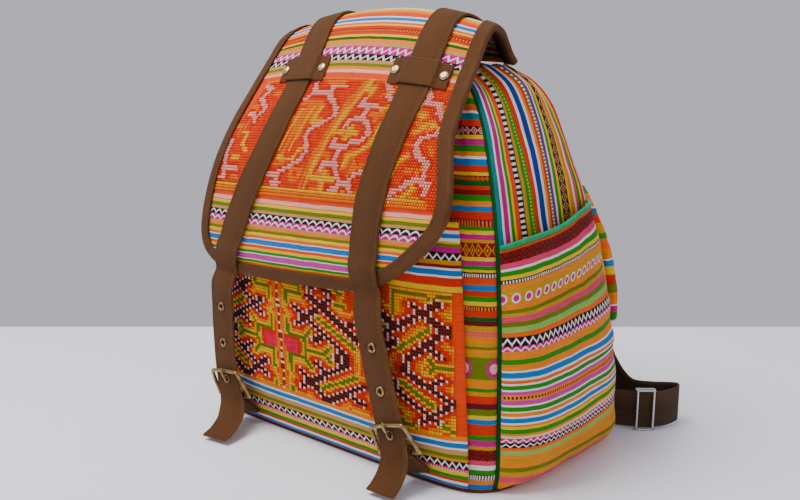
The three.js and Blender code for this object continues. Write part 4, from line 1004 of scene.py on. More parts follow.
def binding_mesh():
    """The canvas tape folded round the flap's edge, and the line and facing of its seam."""
    rim = flap_rim()
    ends = np.concatenate([rim[:1], rim, rim[-1:]])
    run = unit(ends[2:] - ends[:-2])
    for _ in range(3):
        run = unit(np.concatenate([run[:1], run, run[-1:]])[2:] + run + np.concatenate([run[:1], run])[:-1])
    inward = np.stack([-run[:, 1], run[:, 0]], -1)
    rest, _ = on_flap(rim[:, 0], rim[:, 1])
    deep, _ = on_flap(rim[:, 0] + inward[:, 0] * BINDING_WIDTH, rim[:, 1] + inward[:, 1] * BINDING_WIDTH)
    away = unit(deep - rest)
    high = BINDING_GAP + BINDING_CLOTH
    low = -FLAP_CLOTH - high
    middle = (high + low) / 2
    section = [
        (BINDING_WIDTH, high - 0.35), (BINDING_WIDTH - 0.4, high), (BINDING_WIDTH - 2, high - 0.15), (7, high + 0.1),
        (3, high + 0.1), (0.6, high), (-1.1, high - 1.1), (-SEAM_GAP - BINDING_CLOTH, middle), (-1.1, low + 1.1),
        (0.6, low), (4, low), (BINDING_WIDTH, low), (BINDING_WIDTH, low + BINDING_CLOTH), (0.2, low + BINDING_CLOTH),
        (-SEAM_GAP, middle), (0.2, BINDING_GAP), (BINDING_WIDTH, BINDING_GAP),
    ]
    length = np.r_[0, np.cumsum(np.linalg.norm(np.diff(rest, axis=0), axis=-1))]
    pucker = 0.22 * np.sin(length / 1.9) + 0.2 * np.sin(length / 7.3)
    rings, across = [], []
    for side, out in section:
        reach = max(side, 0)
        at, normal = on_flap(rim[:, 0] + inward[:, 0] * reach, rim[:, 1] + inward[:, 1] * reach)
        lift = out + (pucker * 0.5 if out > 0 and side > 2 else 0)
        rings.append(at + away * min(side, 0) + normal * (lift[:, None] if np.ndim(lift) else lift))
        across.append(side + out)
    rings = np.stack(rings, 1)
    across = np.broadcast_to(np.array(across), rings.shape[:2])
    points, faces, uv = rings_mesh(rings, across)
    worn = np.array([0.8 if side < 1 else 0.15 for side, _ in section])
    edge = np.broadcast_to(worn, rings.shape[:2]).ravel()
    seam = np.stack(on_flap(rim[:, 0] + inward[:, 0] * (BINDING_WIDTH - 2),
                            rim[:, 1] + inward[:, 1] * (BINDING_WIDTH - 2)))
    return mesh_of("flap_binding", points, faces, uv, edge=edge), seam[0] + seam[1] * (high + 0.1), seam[1]


# Closing straps and what is on them

X_AXIS, Z_AXIS = np.array([1.0, 0, 0]), np.array([0, 0, 1.0])
HALF_STRAP = STRAP_WIDTH / 2
OVER_BINDING = BINDING_GAP + BINDING_CLOTH + 1.4 * SEAT_GAP
EYELET_HEIGHTS = [EYELET_TOP - EYELET_PITCH * i for i in range(3)]
BUCKLE_BAR_UP = EYELET_HEIGHTS[-1] + EYELET_FLANGE + BAR_RADIUS + 1.5
HEEL_BEHIND = BAR_RADIUS + 2 * 0.5 + TAB_CLOTH
BAR_BEFORE = STRAP_CLOTH + 0.5 + BAR_RADIUS


def strap_aside(side, z):
    """How far a strap's middle lies aside at a height."""
    return read(STRAP_ROWS, side, np.asarray(z) / BODY_HEIGHT) * (BODY_WIDTH / 2)


def flap_height(t):
    """The flap's height at a share of its length."""
    return read(FLAP_ROWS, "up", t) * BODY_HEIGHT


def strap_path(side):
    """The middle line of a strap's inner face, from the flap's back seam to the loose tip, and its side."""
    t = np.linspace(0.985, 0.03, 150)
    aside = strap_aside(side, flap_height(np.minimum(t, CREST)))
    at, normal = flap_point(aside, t), flap_facing(aside, t)
    lift = mix(OVER_BINDING, SEAT_GAP, smooth(BINDING_WIDTH + 13, BINDING_WIDTH + 25, t * FLAP_LENGTH))
    top = at + normal * lift[:, None]
    across = X_AXIS - normal * normal[:, :1]
    low_x = strap_aside(side, flap_height(0.0))
    low = flap_point(low_x, 0.0) + flap_facing(low_x, 0.0) * OVER_BINDING
    z = np.array([row[0] for row in TAIL_ROWS]) * EYELET_TOP
    reach = np.array([row[1] for row in TAIL_ROWS]) * TAIL_REACH[side]
    hanging = np.stack([strap_aside(side, z), -FRONT_DEPTH - STRAP_STANDOFF - reach, z], -1)
    keys = np.concatenate([top[-1:], low[None], hanging])
    tail = smooth_path(keys, 9)[1:]
    points = np.concatenate([top, tail])
    sides = np.concatenate([across, np.broadcast_to(X_AXIS, tail.shape)])
    return points, sides, len(top)


def strap_section():
    """A flat canvas strap's section: turned edges, and a faint groove where each edge is stitched."""
    w, h = HALF_STRAP, STRAP_CLOTH
    top = [(-w, 1.0), (-w, 1.7), (-w + 0.5, h), (-w + 2.2, h), (-w + 3, h - 0.35), (-w + 3.8, h),
           (0, h + 0.1), (w - 3.8, h), (w - 3, h - 0.35), (w - 2.2, h), (w - 0.5, h), (w, 1.7), (w, 1.0)]
    return np.array([(w, 0.5), (w - 0.5, 0), (0, 0), (-w + 0.5, 0), (-w, 0.5)] + top)


def strap_at(points, first, z, side_vector=X_AXIS):
    """The place and frame of a hanging strap at a height."""
    line = points[first:]
    k = int(np.argmax(line[:, 2] <= z))
    a, b = line[k - 1], line[k]
    at = mix(a, b, (a[2] - z) / (a[2] - b[2]))
    tangent = unit(line[min(k + 1, len(line) - 1)] - line[k - 2])
    side = unit(side_vector - tangent * tangent.dot(side_vector))
    out = np.cross(tangent, side)
    return {"at": at, "side": side, "out": out, "up": np.cross(out, side)}


def strap_body(side):
    """A strap from seam to tip, its worn edges, and the path it follows."""
    points, sides, first = strap_path(side)
    section = strap_section()
    length = np.r_[0, np.cumsum(np.linalg.norm(np.diff(points, axis=0), axis=-1))]
    sway = 0.35 * np.sin(length / 23 + (0 if side == "left" else 1.7)) + 0.2 * np.sin(length / 7.9)
    rings = np.repeat(section[None], len(points), 0)
    rings[..., 0] *= 1 + (sway / HALF_STRAP)[:, None] * 0.6
    body = sweep(points, sides, rings)
    worn = np.clip((np.abs(section[:, 0]) - HALF_STRAP + 1.2) / 1.2, 0, 1)
    edge = np.broadcast_to(worn, rings.shape[:2]).ravel()
    return body, edge, points, sides, first


def eyelet_body(place):
    """A rolled brass eyelet: a barrel through the strap under a domed flange."""
    h, f, c = EYELET_HOLE, EYELET_FLANGE, STRAP_CLOTH
    profile = [(h + 0.6, -0.6), (h + 0.1, -0.6), (h - 0.05, 0), (h - 0.05, c - 0.4), (h + 0.1, c + 0.9),
               (h + 0.8, c + 1.35), (mix(h, f, 0.65), c + 1.25), (f - 0.2, c + 0.75), (f, c + 0.3),
               (f - 0.5, c + 0.15), (h + 0.9, c + 0.35), (h + 0.6, c - 0.2)]
    return turned(profile, place["at"], place["side"], place["out"])


def rivet_body(at, side, out):
    """A rivet's low domed cap."""
    r, h = RIVET_RADIUS, RIVET_RISE
    profile = [(0.01, 0), (r - 0.3, 0), (r, 0.3), (r - 0.1, 0.75), (r * 0.86, h * 0.62), (r * 0.66, h * 0.86),
               (r * 0.45, h * 0.97), (r * 0.34, h), (0.01, h * 0.98)]
    return turned(profile, at, side, out, sides=32)


def buckle_body(middle):
    """The buckle's bent wire frame, narrower at the bar that the strap comes over than at its heel."""
    top, heel, curl = BUCKLE_TOP_WIDTH / 2, BUCKLE_HEEL_WIDTH / 2, 4
    corners = [
        (-heel, 0), (-heel + curl, 0), (0, 0), (heel - curl, 0), (heel, 0), (mix(heel, top, 0.12), 0.12),
        (mix(heel, top, 0.5), 0.5), (mix(heel, top, 0.84), 0.84), (top - 1, 0.96), (top - curl, 1), (0, 1.03),
        (-top + curl, 1), (-top + 1, 0.96), (-mix(heel, top, 0.84), 0.84), (-mix(heel, top, 0.5), 0.5),
        (-mix(heel, top, 0.12), 0.12)]
    keys = [middle["at"] + middle["side"] * aside + middle["up"] * (rise - 1) * BUCKLE_HEIGHT
            + middle["out"] * mix(-HEEL_BEHIND, BAR_BEFORE, rise) for aside, rise in corners]
    path = smooth_path(keys, 8, loop=True)
    return sweep(path, middle["out"], circle(BAR_RADIUS, 14), loop=True)


def prong_body(middle, hole):
    """The prong: hooked round the heel bar, up through the lowest eyelet and over the top bar."""
    heel = middle["at"] - middle["up"] * BUCKLE_HEIGHT
    grip = BAR_RADIUS + 0.5 + PRONG_RADIUS
    rise = (hole["at"] - heel).dot(middle["up"])
    before = BAR_BEFORE + grip
    hook = [(grip * math.cos(math.radians(a)) - HEEL_BEHIND, grip * math.sin(math.radians(a)))
            for a in (-50, -90, -135, -180, -215)]
    reach = [(-HEEL_BEHIND - 0.6, rise * 0.55), (-HEEL_BEHIND * 0.72, rise * 0.82),
             (-HEEL_BEHIND * 0.34, rise - 0.5), (STRAP_CLOTH / 2, rise), (STRAP_CLOTH + 1.2, rise + 0.7),
             (mix(STRAP_CLOTH, before, 0.6), rise + 2.8), (before, BUCKLE_HEIGHT), (before - 0.4, BUCKLE_HEIGHT + 4)]
    slant = (hole["at"] - heel).dot(middle["side"]) / rise
    keys = [heel + middle["out"] * out + middle["up"] * up + middle["side"] * slant * up for out, up in hook + reach]
    path = smooth_path(keys, 6)
    taper = np.r_[np.ones(len(path) - 8), np.linspace(1, 0.55, 8)][:, None, None]
    return sweep(path, middle["side"], circle(PRONG_RADIUS, 12)[None] * taper)


def tab_body(middle):
    """The leather tab folded round the buckle's heel bar, and the cutter for the prong's slot."""
    heel = middle["at"] - middle["up"] * BUCKLE_HEIGHT - middle["out"] * HEEL_BEHIND
    loop = BAR_RADIUS + 0.5
    drop = heel[2] - POCKET_FOOT - 6
    foot = heel - middle["up"] * drop
    foot[1] = -FRONT_DEPTH - SEAM_GAP - CLOTH - TAB_CLOTH - 2 * SEAT_GAP
    away = unit(foot - heel)
    across = unit(np.cross(middle["side"], away))
    reach = np.linalg.norm(foot - heel)
    arc = [heel + away * loop * math.cos(math.radians(a)) + across * loop * math.sin(math.radians(a))
           for a in (90, 120, 150, 180, 210, 240, 270)]
    leg = [[heel + away * along + across * off for along, off in (
        (reach, sign * 0.3), (reach * 0.75, sign * 0.3), (reach * 0.5, sign * 0.3), (loop * 1.6, sign * loop * 0.45))]
        for sign in (1, -1)]
    path = smooth_path(np.array(leg[0] + arc + leg[1][::-1]), 4)
    w, h = TAB_WIDTH / 2, TAB_CLOTH
    section = [(-w, 0.4), (-w + 0.4, 0), (0, 0), (w - 0.4, 0), (w, 0.4), (w, h - 0.4), (w - 0.4, h), (0, h),
               (-w + 0.4, h), (-w, h - 0.4)]
    clear = BAR_RADIUS + 1 + 2 * PRONG_RADIUS + 1
    half = np.array([PRONG_RADIUS + 3, clear, clear])
    corner = np.array([(x, y, z) for x in (-1, 1) for y in (-1, 1) for z in (-1, 1)]) * half + heel
    box = corner, [[0, 1, 3, 2], [4, 6, 7, 5], [0, 4, 5, 1], [2, 3, 7, 6], [0, 2, 6, 4], [1, 5, 7, 3]]
    return sweep(path, middle["side"], np.array(section)), box


def patch_place(side):
    """A function that places (across, along, off) points of a riveted patch on the flap."""
    t = np.linspace(0.3, CREST, 400)
    t0 = float(t[np.argmin(np.abs(flap_height(t) - PATCH_UP))])
    x0 = float(strap_aside(side, PATCH_UP))
    skew = float(strap_aside(side, PATCH_UP + 10) - strap_aside(side, PATCH_UP - 10)) / 20

    def place(a, b, off):
        """The point a across, b along and off the flap."""
        x, t = x0 + a + skew * b, t0 + b / FLAP_LENGTH
        return flap_point(x, t) + flap_facing(x, t) * np.asarray(off)[..., None]

    return place


def patch_bridge(a):
    """How far a patch's inner face stands off the flap: over the strap in its middle, down beside it."""
    return SEAT_GAP + (STRAP_CLOTH + SEAT_GAP) * (1 - smooth(HALF_STRAP + 1.5, HALF_STRAP + 5, np.abs(a)))


def patch_mesh(side):
    """A patch riveted over the strap: bridged across it, grooved by its seams and dented at its rivets."""
    place = patch_place(side)
    a, b = np.meshgrid(np.linspace(-PATCH_WIDTH / 2, PATCH_WIDTH / 2, 73),
                       np.linspace(-PATCH_LENGTH / 2, PATCH_LENGTH / 2, 35))
    bridge = patch_bridge(a)
    inset = np.minimum(PATCH_WIDTH / 2 - np.abs(a), PATCH_LENGTH / 2 - np.abs(b))
    groove = 0.35 * np.exp(-((inset - PATCH_SEAM) / 0.5) ** 2)
    rim = 0.5 * np.exp(-inset / 0.35)
    dent = 0.5 * np.exp(-((np.abs(a) - RIVET_SPACING / 2) ** 2 + b**2) / 45.0)
    outer = place(a, b, bridge + PATCH_CLOTH - groove - rim - dent * 0.4)
    inner = place(a, b, bridge)
    points, faces, uv, inside = shell(outer, inner, np.stack([a, b], -1))
    edge = np.tile(np.clip(1 - inset / 1.2, 0, 1).ravel(), 2)
    return mesh_of(f"strap_patch_{side}", points, faces, uv, np.zeros(len(inside), int), edge)


# Shoulder straps

def back_face(x, z):
    """How far back the back panel reaches at a place across and up."""
    wide = read(BODY_ROWS, "wide", up_at(z))
    return body_point(np.arctan2(BACK_DEPTH, x / wide), up_at(z))[..., 1]


def pad_body(hand):
    """A shoulder pad before it is plumped, and its middle line."""
    along = np.linspace(0, 1, 13)
    x = hand * read(PAD_ROWS, "aside", along) * (BODY_WIDTH / 2)
    z = mix(PAD_TOP, PAD_FOOT, along)
    panel = np.maximum(back_face(x, z), back_face(0 * x, z)) + 0.85 * GATHER_DEPTH
    y = panel + SEAT_GAP + read(PAD_ROWS, "slack", along) * PAD_WIDTH
    path = smooth_path(np.stack([x, y, z], -1), 5)
    w, h = PAD_WIDTH / 2, PAD_THICK
    ring = np.array([(-w + 1, h * 0.5), (-w + 1.6, h * 0.25), (-w + 4, 1.2), (-w + 10, 1), (0, 1), (w - 10, 1),
                     (w - 4, 1.2), (w - 1.6, h * 0.25), (w - 1, h * 0.5), (w - 1.6, h * 0.75), (w - 4, h - 1.2),
                     (w - 10, h - 1), (0, h - 1), (-w + 10, h - 1), (-w + 4, h - 1.2), (-w + 1.6, h * 0.75)])
    return sweep(path, -X_AXIS, ring), path


def webbing_path(hand):
    """The webbing's middle line and which way its width lies, flat on the pad and on edge in the loop."""
    lowest = WEBBING_FOOT + WEBBING_WIDTH / 2
    keys = np.array([(hand * aside * (BODY_WIDTH / 2), back * BACK_DEPTH,
                      max(up * (PAD_FOOT - SEAT_GAP), lowest)) for aside, back, up, _ in WEBBING_ROWS])
    path = smooth_path(keys, 8)
    at = np.linspace(0, len(WEBBING_ROWS) - 1, len(path))
    flat = np.interp(at, np.arange(len(WEBBING_ROWS)), [row[3] for row in WEBBING_ROWS])
    sides = np.stack([hand * flat, 0 * flat, 1 - flat], -1)
    return path, sides


# Embroidery: what colour each cross-stitch is, and where it lies

def strokes(text):
    """Line segments ((i, j), (i, j)) from text: each stroke is a run of points, strokes parted by commas."""
    segments = []
    for stroke in text.split(","):
        values = list(map(float, stroke.split()))
        ends = list(zip(values[::2], values[1::2]))
        segments += list(zip(ends[:-1], ends[1:]))
    return np.array(segments)


def reach_of(places, segments, squeeze=1.0):
    """How far each place lies from the nearest segment, with widths counted less by squeeze."""
    shrink = np.array([squeeze, 1.0])
    at, start, end = places[:, None] * shrink, segments[:, 0] * shrink, segments[:, 1] * shrink
    run = end - start
    share = np.clip(((at - start) * run).sum(-1) / np.maximum((run * run).sum(-1), 1e-9), 0, 1)
    return np.linalg.norm(at - start - share[..., None] * run, axis=-1).min(1)


# The charts are drawn as strokes on a grid of 3.2 mm: i across from the cloth's middle line, j up
# from the foot of the stitched panel. The stitches are finer, and each takes the dye of its place.

CHART_CELL = 3.2
FLAP_CHART_FOOT, FLAP_STITCH_FOOT, FLAP_STITCH_TALL = 75.6, 75.2, 116.5
POCKET_CHART_FOOT, POCKET_STITCH_FOOT, POCKET_STITCH_TALL = 51.4, 51.2, 122
POCKET_CHART_MIDDLE = -46
FLOSS_LIFT = 0.35
FLOSS_REACH = 1.45

FLAP_PEARL = strokes("""
-15 34.2 -13.1 31 -15 28.9, -13.1 31 -6.2 31, -2.5 33.2 -7.5 33.2 -6 30 -3.1 28.6 0 25.8 .9 23.9 -1.9 21.4
-5 19.5 -4.7 17 -3.1 15.1 -1.9 13.2 -2.5 10.8 -6.2 8.2 -8.8 7 -10 5.8 -16.9 6.4 -18.4 4.5,
-9.4 5.8 -9.2 3.7, -10.8 3.6 -7.8 3.6, -16.9 8.4 -18 6.4, -19 33 -21 30 -18 27 -21 24 -21 20, -19 15 -22 12 -19 9,
7.5 29.8 7.5 27.9 14.4 27.3, 10.9 27.6 11.2 23.9, 7.5 21.2 7.5 23 11.9 23.6 15 21.7 16.9 18.9 15.6 16.7 12.5 16.7
11.9 15.1 6.9 15.1 6.6 17, 10 14.5 9.7 10.3, 6.6 8.2 6.9 10.1 11.2 9.8 12.5 7.9 15 5.6 15 2.9 12.5 2.9,
15 5.1 18.8 5.1 20 2.6, 18.8 5.8 19.4 7.6 22.5 8.9, 11.2 34.5 13.8 33.2 14.4 30.8 17.5 30.1,
24 35 27 32 25 29 28.1 30.1 31.2 30.1 33.1 27.6 36.9 25.1 37.4 21 33.8 19.5 33.8 17 35.9 14.5 40.6 12 41.2 7.6
36.9 7 36.9 5.1 33.4 3.9 34.4 1.8, 41.2 7 44 6.4 43.8 3.9, 26 22 28 19 26 15 29 12 27 8,
-40 35 -34 33 -36 30 -33 28, -36.2 24.5 -33.8 23.9 -31.2 21.4, -40 15.1 -36.9 15.1 -37.5 12 -36.2 9.5 -35.6 7
-28.8 6.4, -35.6 7 -33.8 3.9 -37.5 3.6, -33 28 -30 26 -32 23""")
FLAP_YELLOW = strokes("""
5 36 4.3 24 3.6 12 2.8 2, -8.8 26.4 -8.8 13.2, -6 26.4 -6 22 -3.5 22, -12.5 10.8 -6.2 10.3 -5 13.2 -2.8 14.5,
-40 2 44 2, 5 18.9 7.5 19.2 10 20.8 10 17.5, 10 19.2 12.6 19.2, 8.8 8 9.4 2.2, 5 5.8 13 5.8, 13.8 12.6 16.2 13.2
19.4 16.4 18.8 22.6, 14.4 12.6 14.4 9.6, 5.5 33 8 33 8 31, 16 33 19 33 19 29 16 27, -13 25 -13 13,
-34 18 -31 18 -31 14 -28 12, -33 10 -30 10, 33 14 31 12 31 8, 36 23 33 24 31 21, 38 3 40 5 38 7, 30 26 27 27""")
FLAP_ORANGE = strokes("""
3 36 2.4 24 1.8 12 1.2 2, -15 22.6 -15 12, -11 27 -11 12, -7 27.5 -14.8 27.5, -4 5 -1 5 -1 8 -4 8 -4 5, -13 8.8
-9 9, -40 .8 46 .8, -40 36 46 36, 21.6 22 21.6 11 19 9, 17 25 21 25, 5.5 12.5 7.5 12.5 7.5 7.5 5.5 7.5,
5.5 26 5.5 31, 13 25.4 16 25.4 16 23.5, 12 31 16 35, 17.5 11 17.5 7.6, -10 34.6 -4 34.6, -18 25 -18 10,
-38 27 -34 27 -34 19, -39 20 -36 20 -36 17, -31 31 -28 31, -30 4 -27 4, 29 24 34 22, 30 17 32 17, 38 17 40 15,
24 26 24 12, 33 30 35 28, 39 9 39 11, 35 10 37 10""")

POCKET_BLACK = strokes("""
7.3 11.5 26 1.7 26 0, 7.8 7 21 16, 13.2 16 32 6.3, 14.5 3.3 18 5.6, 22.4 .2 24.8 2, 28.9 10.4 31.5 11""")
POCKET_GREEN = strokes("""
3.6 12.6 3.6 15.6 9.6 16 9.6 18, 3.6 7.6 3.6 2.9 10 2.9 12.6 5.6, 10 2.9 10.6 0, 12 0 18 .2 20.4 2.2,
16.5 10 30 4.2, 23.6 15 26.6 15.4""")
RIGHT_BLACK = strokes("""
38 24 56 34.8, 48.5 33.5 62 26, 46.5 19 59 28.5, 52 23.5 57 21, 46.5 19 46 15.5 54 12 64 7.4, 53 12.5 57.5 14.8,
42 10.8 56 3.5, 51.5 2.5 62 9.5, 38 30 44 27, 38 20 43 23.5, 38 14 43 12""")
RIGHT_GREEN = strokes("""
42 31 42 36.8 52 36.8 54 35 56 36.8 62 36.8, 50.5 31 51 32, 55 18 61 18, 53.6 20 55 18 53.6 16, 44 21.5 53 27.8,
45 12.4 55 7.4, 57 3 62 1, 44 2 50 .6, 38 27 41 26""")


def flap_dyes(i, j):
    """The yarn of each flap stitch at (i, j) on the chart's grid: pearl hooks rimmed with red, on scarlet."""
    places = np.stack([i, j], -1)
    pearl, yellow, orange = (reach_of(places, lines) for lines in (FLAP_PEARL, FLAP_YELLOW, FLAP_ORANGE))
    return np.select([pearl < 0.78, yellow < 0.68, orange < 0.66, pearl < 1.5, (yellow < 1.25) & (i + j > 8)],
                     ["pearl", "yellow", "orange", "red", "orange"], "scarlet")


def pocket_dyes(i, j, odd):
    """The yarn of each pocket stitch: black branches edged with white dots, in rings of red to green."""
    leant = i + 0.093 * (j - 3)
    far, off = np.abs(leant), np.abs(j - 14.0)
    off = np.where(off > 17, 34 - off, off)
    left = np.stack([far, off], -1)
    right = np.stack([i, j], -1)
    beside = i > 34
    black = np.where(beside, reach_of(right, RIGHT_BLACK, 0.55), reach_of(left, POCKET_BLACK, 0.55))
    green = np.where(beside, reach_of(right, RIGHT_GREEN, 0.8), reach_of(left, POCKET_GREEN, 0.8))
    block = (far < 8.2) & (off < 2.6)
    return np.select(
        [(far < 0.55) & (np.mod(j, 2.4) < 0.9), far < 0.55, far < 1.8, block & (off < 1.9) & (far < 7.4), block,
         black < 0.42, (black < 1.05) & odd, black < 0.8, green < 0.45, green < 1.15, black < 1.8, black < 2.5,
         black < 3.3, far < 3],
        ["white", "garnet", "orange", "rose", "red", "black", "white", "black", "green", "yellow", "red", "orange",
         "yellow", "scarlet"], "scarlet")


SEAM_STITCH = (2.9, 0.55)  # length and thickness of a machine stitch


def stitch_points(name, at, facing, along, dyes=None):
    """A mesh of bare points that carries each stitch's place, its facing, its run and its dye."""
    mesh = bpy.data.meshes.new(name)
    mesh.from_pydata((np.asarray(at) * MM).tolist(), [], [])
    for key, value in (("facing", facing), ("along", along)):
        mesh.attributes.new(key, "FLOAT_VECTOR", "POINT").data.foreach_set(
            "vector", np.asarray(value, np.float32).ravel())
    if dyes is not None:
        colours = np.array([linear(DYES[dye]) for dye in dyes], np.float32)
        mesh.attributes.new("dye", "FLOAT_COLOR", "POINT").data.foreach_set("color", colours.ravel())
    return mesh


def stitch_tree(name, turns, length, thickness, material):
    """Geometry nodes that lay a short bar of thread, or two crossed, on every point."""
    tree = bpy.data.node_groups.new(name, "GeometryNodeTree")
    tree.interface.new_socket("Geometry", in_out="INPUT", socket_type="NodeSocketGeometry")
    for label, value in (("Length", length), ("Thickness", thickness)):
        socket = tree.interface.new_socket(label, in_out="INPUT", socket_type="NodeSocketFloat")
        socket.default_value, socket.subtype = value, "DISTANCE"
    tree.interface.new_socket("Geometry", in_out="OUTPUT", socket_type="NodeSocketGeometry")
    given = add(tree, "NodeGroupInput").outputs
    strand = add(tree, "GeometryNodeMeshUVSphere", {"Segments": 4, "Rings": 3, "Radius": 0.5})
    size = add(tree, "ShaderNodeCombineXYZ", {0: given["Length"], 1: given["Thickness"], 2: given["Thickness"]})
    stitch = add(tree, "GeometryNodeJoinGeometry")
    for turn in turns:
        bar = add(tree, "GeometryNodeTransform", {"Geometry": strand.outputs["Mesh"], "Scale": size.outputs[0]})
        turned_bar = add(tree, "GeometryNodeTransform", {
            "Geometry": bar.outputs[0], "Rotation": (0, 0, math.radians(turn)),
            "Translation": (0, 0, 0.0001 if turn > 0 else 0)})
        tree.links.new(turned_bar.outputs[0], stitch.inputs[0])
    facing = add(tree, "GeometryNodeInputNamedAttribute", {"Name": "facing"}, data_type="FLOAT_VECTOR")
    along = add(tree, "GeometryNodeInputNamedAttribute", {"Name": "along"}, data_type="FLOAT_VECTOR")
    turning = add(tree, "FunctionNodeAxesToRotation", {0: facing.outputs[0], 1: along.outputs[0]},
                  primary_axis="Z", secondary_axis="X")
    laid = add(tree, "GeometryNodeInstanceOnPoints", {
        "Points": given["Geometry"], "Instance": stitch.outputs[0], "Rotation": turning.outputs[0]})
    real = add(tree, "GeometryNodeRealizeInstances", {0: laid.outputs[0]})
    soft = add(tree, "GeometryNodeSetShadeSmooth", {"Geometry": real.outputs[0]})
    done = add(tree, "GeometryNodeSetMaterial", {"Geometry": soft.outputs[0], "Material": material})
    add(tree, "NodeGroupOutput", {0: done.outputs[0]})
    return tree


def stitched(name, points, turns, length, thickness, material, slot):
    """Stitches on every point of a mesh, as one plain piece."""
    obj = put(f"{name}_points", points)
    modifier = obj.modifiers.new("Stitches", "NODES")
    modifier.node_group = stitch_tree(f"{name} stitches", turns, length * MM, thickness * MM, material)
    for item in modifier.node_group.interface.items_tree:
        if item.in_out == "INPUT" and item.name == "Length":
            modifier[item.identifier] = length * MM
        if item.in_out == "INPUT" and item.name == "Thickness":
            modifier[item.identifier] = thickness * MM
    bpy.context.view_layer.update()
    mesh = settled_mesh(obj, name)
    made = put(name, mesh)
    settle(made, slot)
    return made


def running(path, facing, pitch, aside=0.0, lift=0.0):
    """Places, facings and runs of a running stitch along a path."""
    length = np.r_[0, np.cumsum(np.linalg.norm(np.diff(path, axis=0), axis=-1))]
    at = np.arange(pitch / 2, length[-1], pitch)
    spot = np.stack([np.interp(at, length, path[:, k]) for k in range(3)], -1)
    ahead = np.stack([np.interp(at + 0.5, length, path[:, k]) for k in range(3)], -1)
    behind = np.stack([np.interp(at - 0.5, length, path[:, k]) for k in range(3)], -1)
    face = unit(np.stack([np.interp(at, length, facing[:, k]) for k in range(3)], -1))
    run = unit(ahead - behind)
    across = np.cross(face, run)
    return spot + across * aside + face * lift, face, run


def together(*rows):
    """Several runs of stitches as one."""
    return tuple(np.concatenate([row[k] for row in rows]) for k in range(3))


# Sizes and colours that a user would change

def colour_property(name, description, code):
    """A colour that a user may change, from its sRGB hex value."""
    return bpy.props.FloatVectorProperty(
        name=name, description=description, subtype="COLOR", size=4, min=0, max=1, default=linear(code))


class PackClothSettings(bpy.types.PropertyGroup):
    """The loomed cloth and its needlework."""

    cell: bpy.props.FloatProperty(
        name="Stitch Cell", description="Pitch of the cross-stitches, in millimetres", default=2.7, min=2.6, max=5)
    thread: bpy.props.FloatProperty(
        name="Floss Thickness", description="Thickness of the floss, in millimetres", default=1.35, min=0.5, max=2)
    rib: bpy.props.FloatProperty(
        name="Weave Pitch", description="Pitch of the cloth's rib, in millimetres", default=1.7, min=0.8, max=4)
    seam_pitch: bpy.props.FloatProperty(
        name="Seam Stitch Pitch", description="Pitch of the machine stitches, in millimetres", default=3.6,
        min=2, max=8)
    piping: colour_property("Piping", "The cord along the side pockets' mouths", DYES["emerald"])
    lining: colour_property("Lining", "The cotton behind the flap and in the pockets", "3b2a20")


class PackTrimSettings(bpy.types.PropertyGroup):
    """The canvas, webbing and metal."""

    canvas: colour_property("Canvas", "Straps, binding, patches and base", "5a3a22")
    webbing: colour_property("Webbing", "The webbing below the shoulder pads", "3d2e20")
    brass: colour_property("Brass", "Eyelets and buckles", "a88d5c")
    rivet: colour_property("Rivets", "The caps on the riveted patches", "d8c49a")
    steel: colour_property("Steel", "The sliders on the webbing", "c9c9c9")
    thread: colour_property("Sewing Thread", "The machine stitches on the canvas", "6e573f")


class PackStageSettings(bpy.types.PropertyGroup):
    """The table and the light."""

    table: colour_property("Table", "The pale table top", "f0f0f6")
    backdrop: colour_property("Backdrop", "The air behind the table", "dddce8")
    key: bpy.props.FloatProperty(
        name="Key Light", description="Power of the soft box, in watts", subtype="POWER", default=34, min=0, max=200)
    fill: bpy.props.FloatProperty(
        name="Fill Light", description="Power of the fill, in watts", subtype="POWER", default=5, min=0, max=200)


def made_once(name, maker, *arguments, **more):
    """A material by name, made the first time it is asked for."""
    return bpy.data.materials.get(name) or maker(name, *arguments, **more)


def lining_material():
    """The brushed cotton inside the cloth, in the chosen colour."""
    return made_once("Brushed Cotton Lining", canvas, tuple(bpy.context.scene.pack_cloth.lining), pitch=1.1, worn=0.1)


def canvas_material():
    """The canvas of the straps, patches and binding, in the chosen colour."""
    return made_once("Washed Cotton Canvas", canvas, tuple(bpy.context.scene.pack_trim.canvas))


class BACKPACK_OT_sack(bpy.types.Operator):
    """Weave and fold the sack's four cloth panels, and finish its base"""

    bl_idname = "backpack.sack"
    bl_label = "Sack"

    def execute(self, context):
        rib = context.scene.pack_cloth.rib
        gusset = woven("Loomed Cotton, Cross Bands", GUSSET_STRIPES, GUSSET_MOTIFS, pitch=rib)
        side = woven("Loomed Cotton, Upright Stripes", SIDE_STRIPES, SIDE_MOTIFS, across=True, pitch=rib)
        for name in PANELS:
            cloth = side if name.startswith("side") else gusset
            piece(f"{name}_cloth", panel_mesh(name), [cloth, lining_material()], "striped_cloth", name)
        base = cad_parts["base_panel"]
        for slot in base.material_slots:
            slot.material = canvas_material()
        return {"FINISHED"}


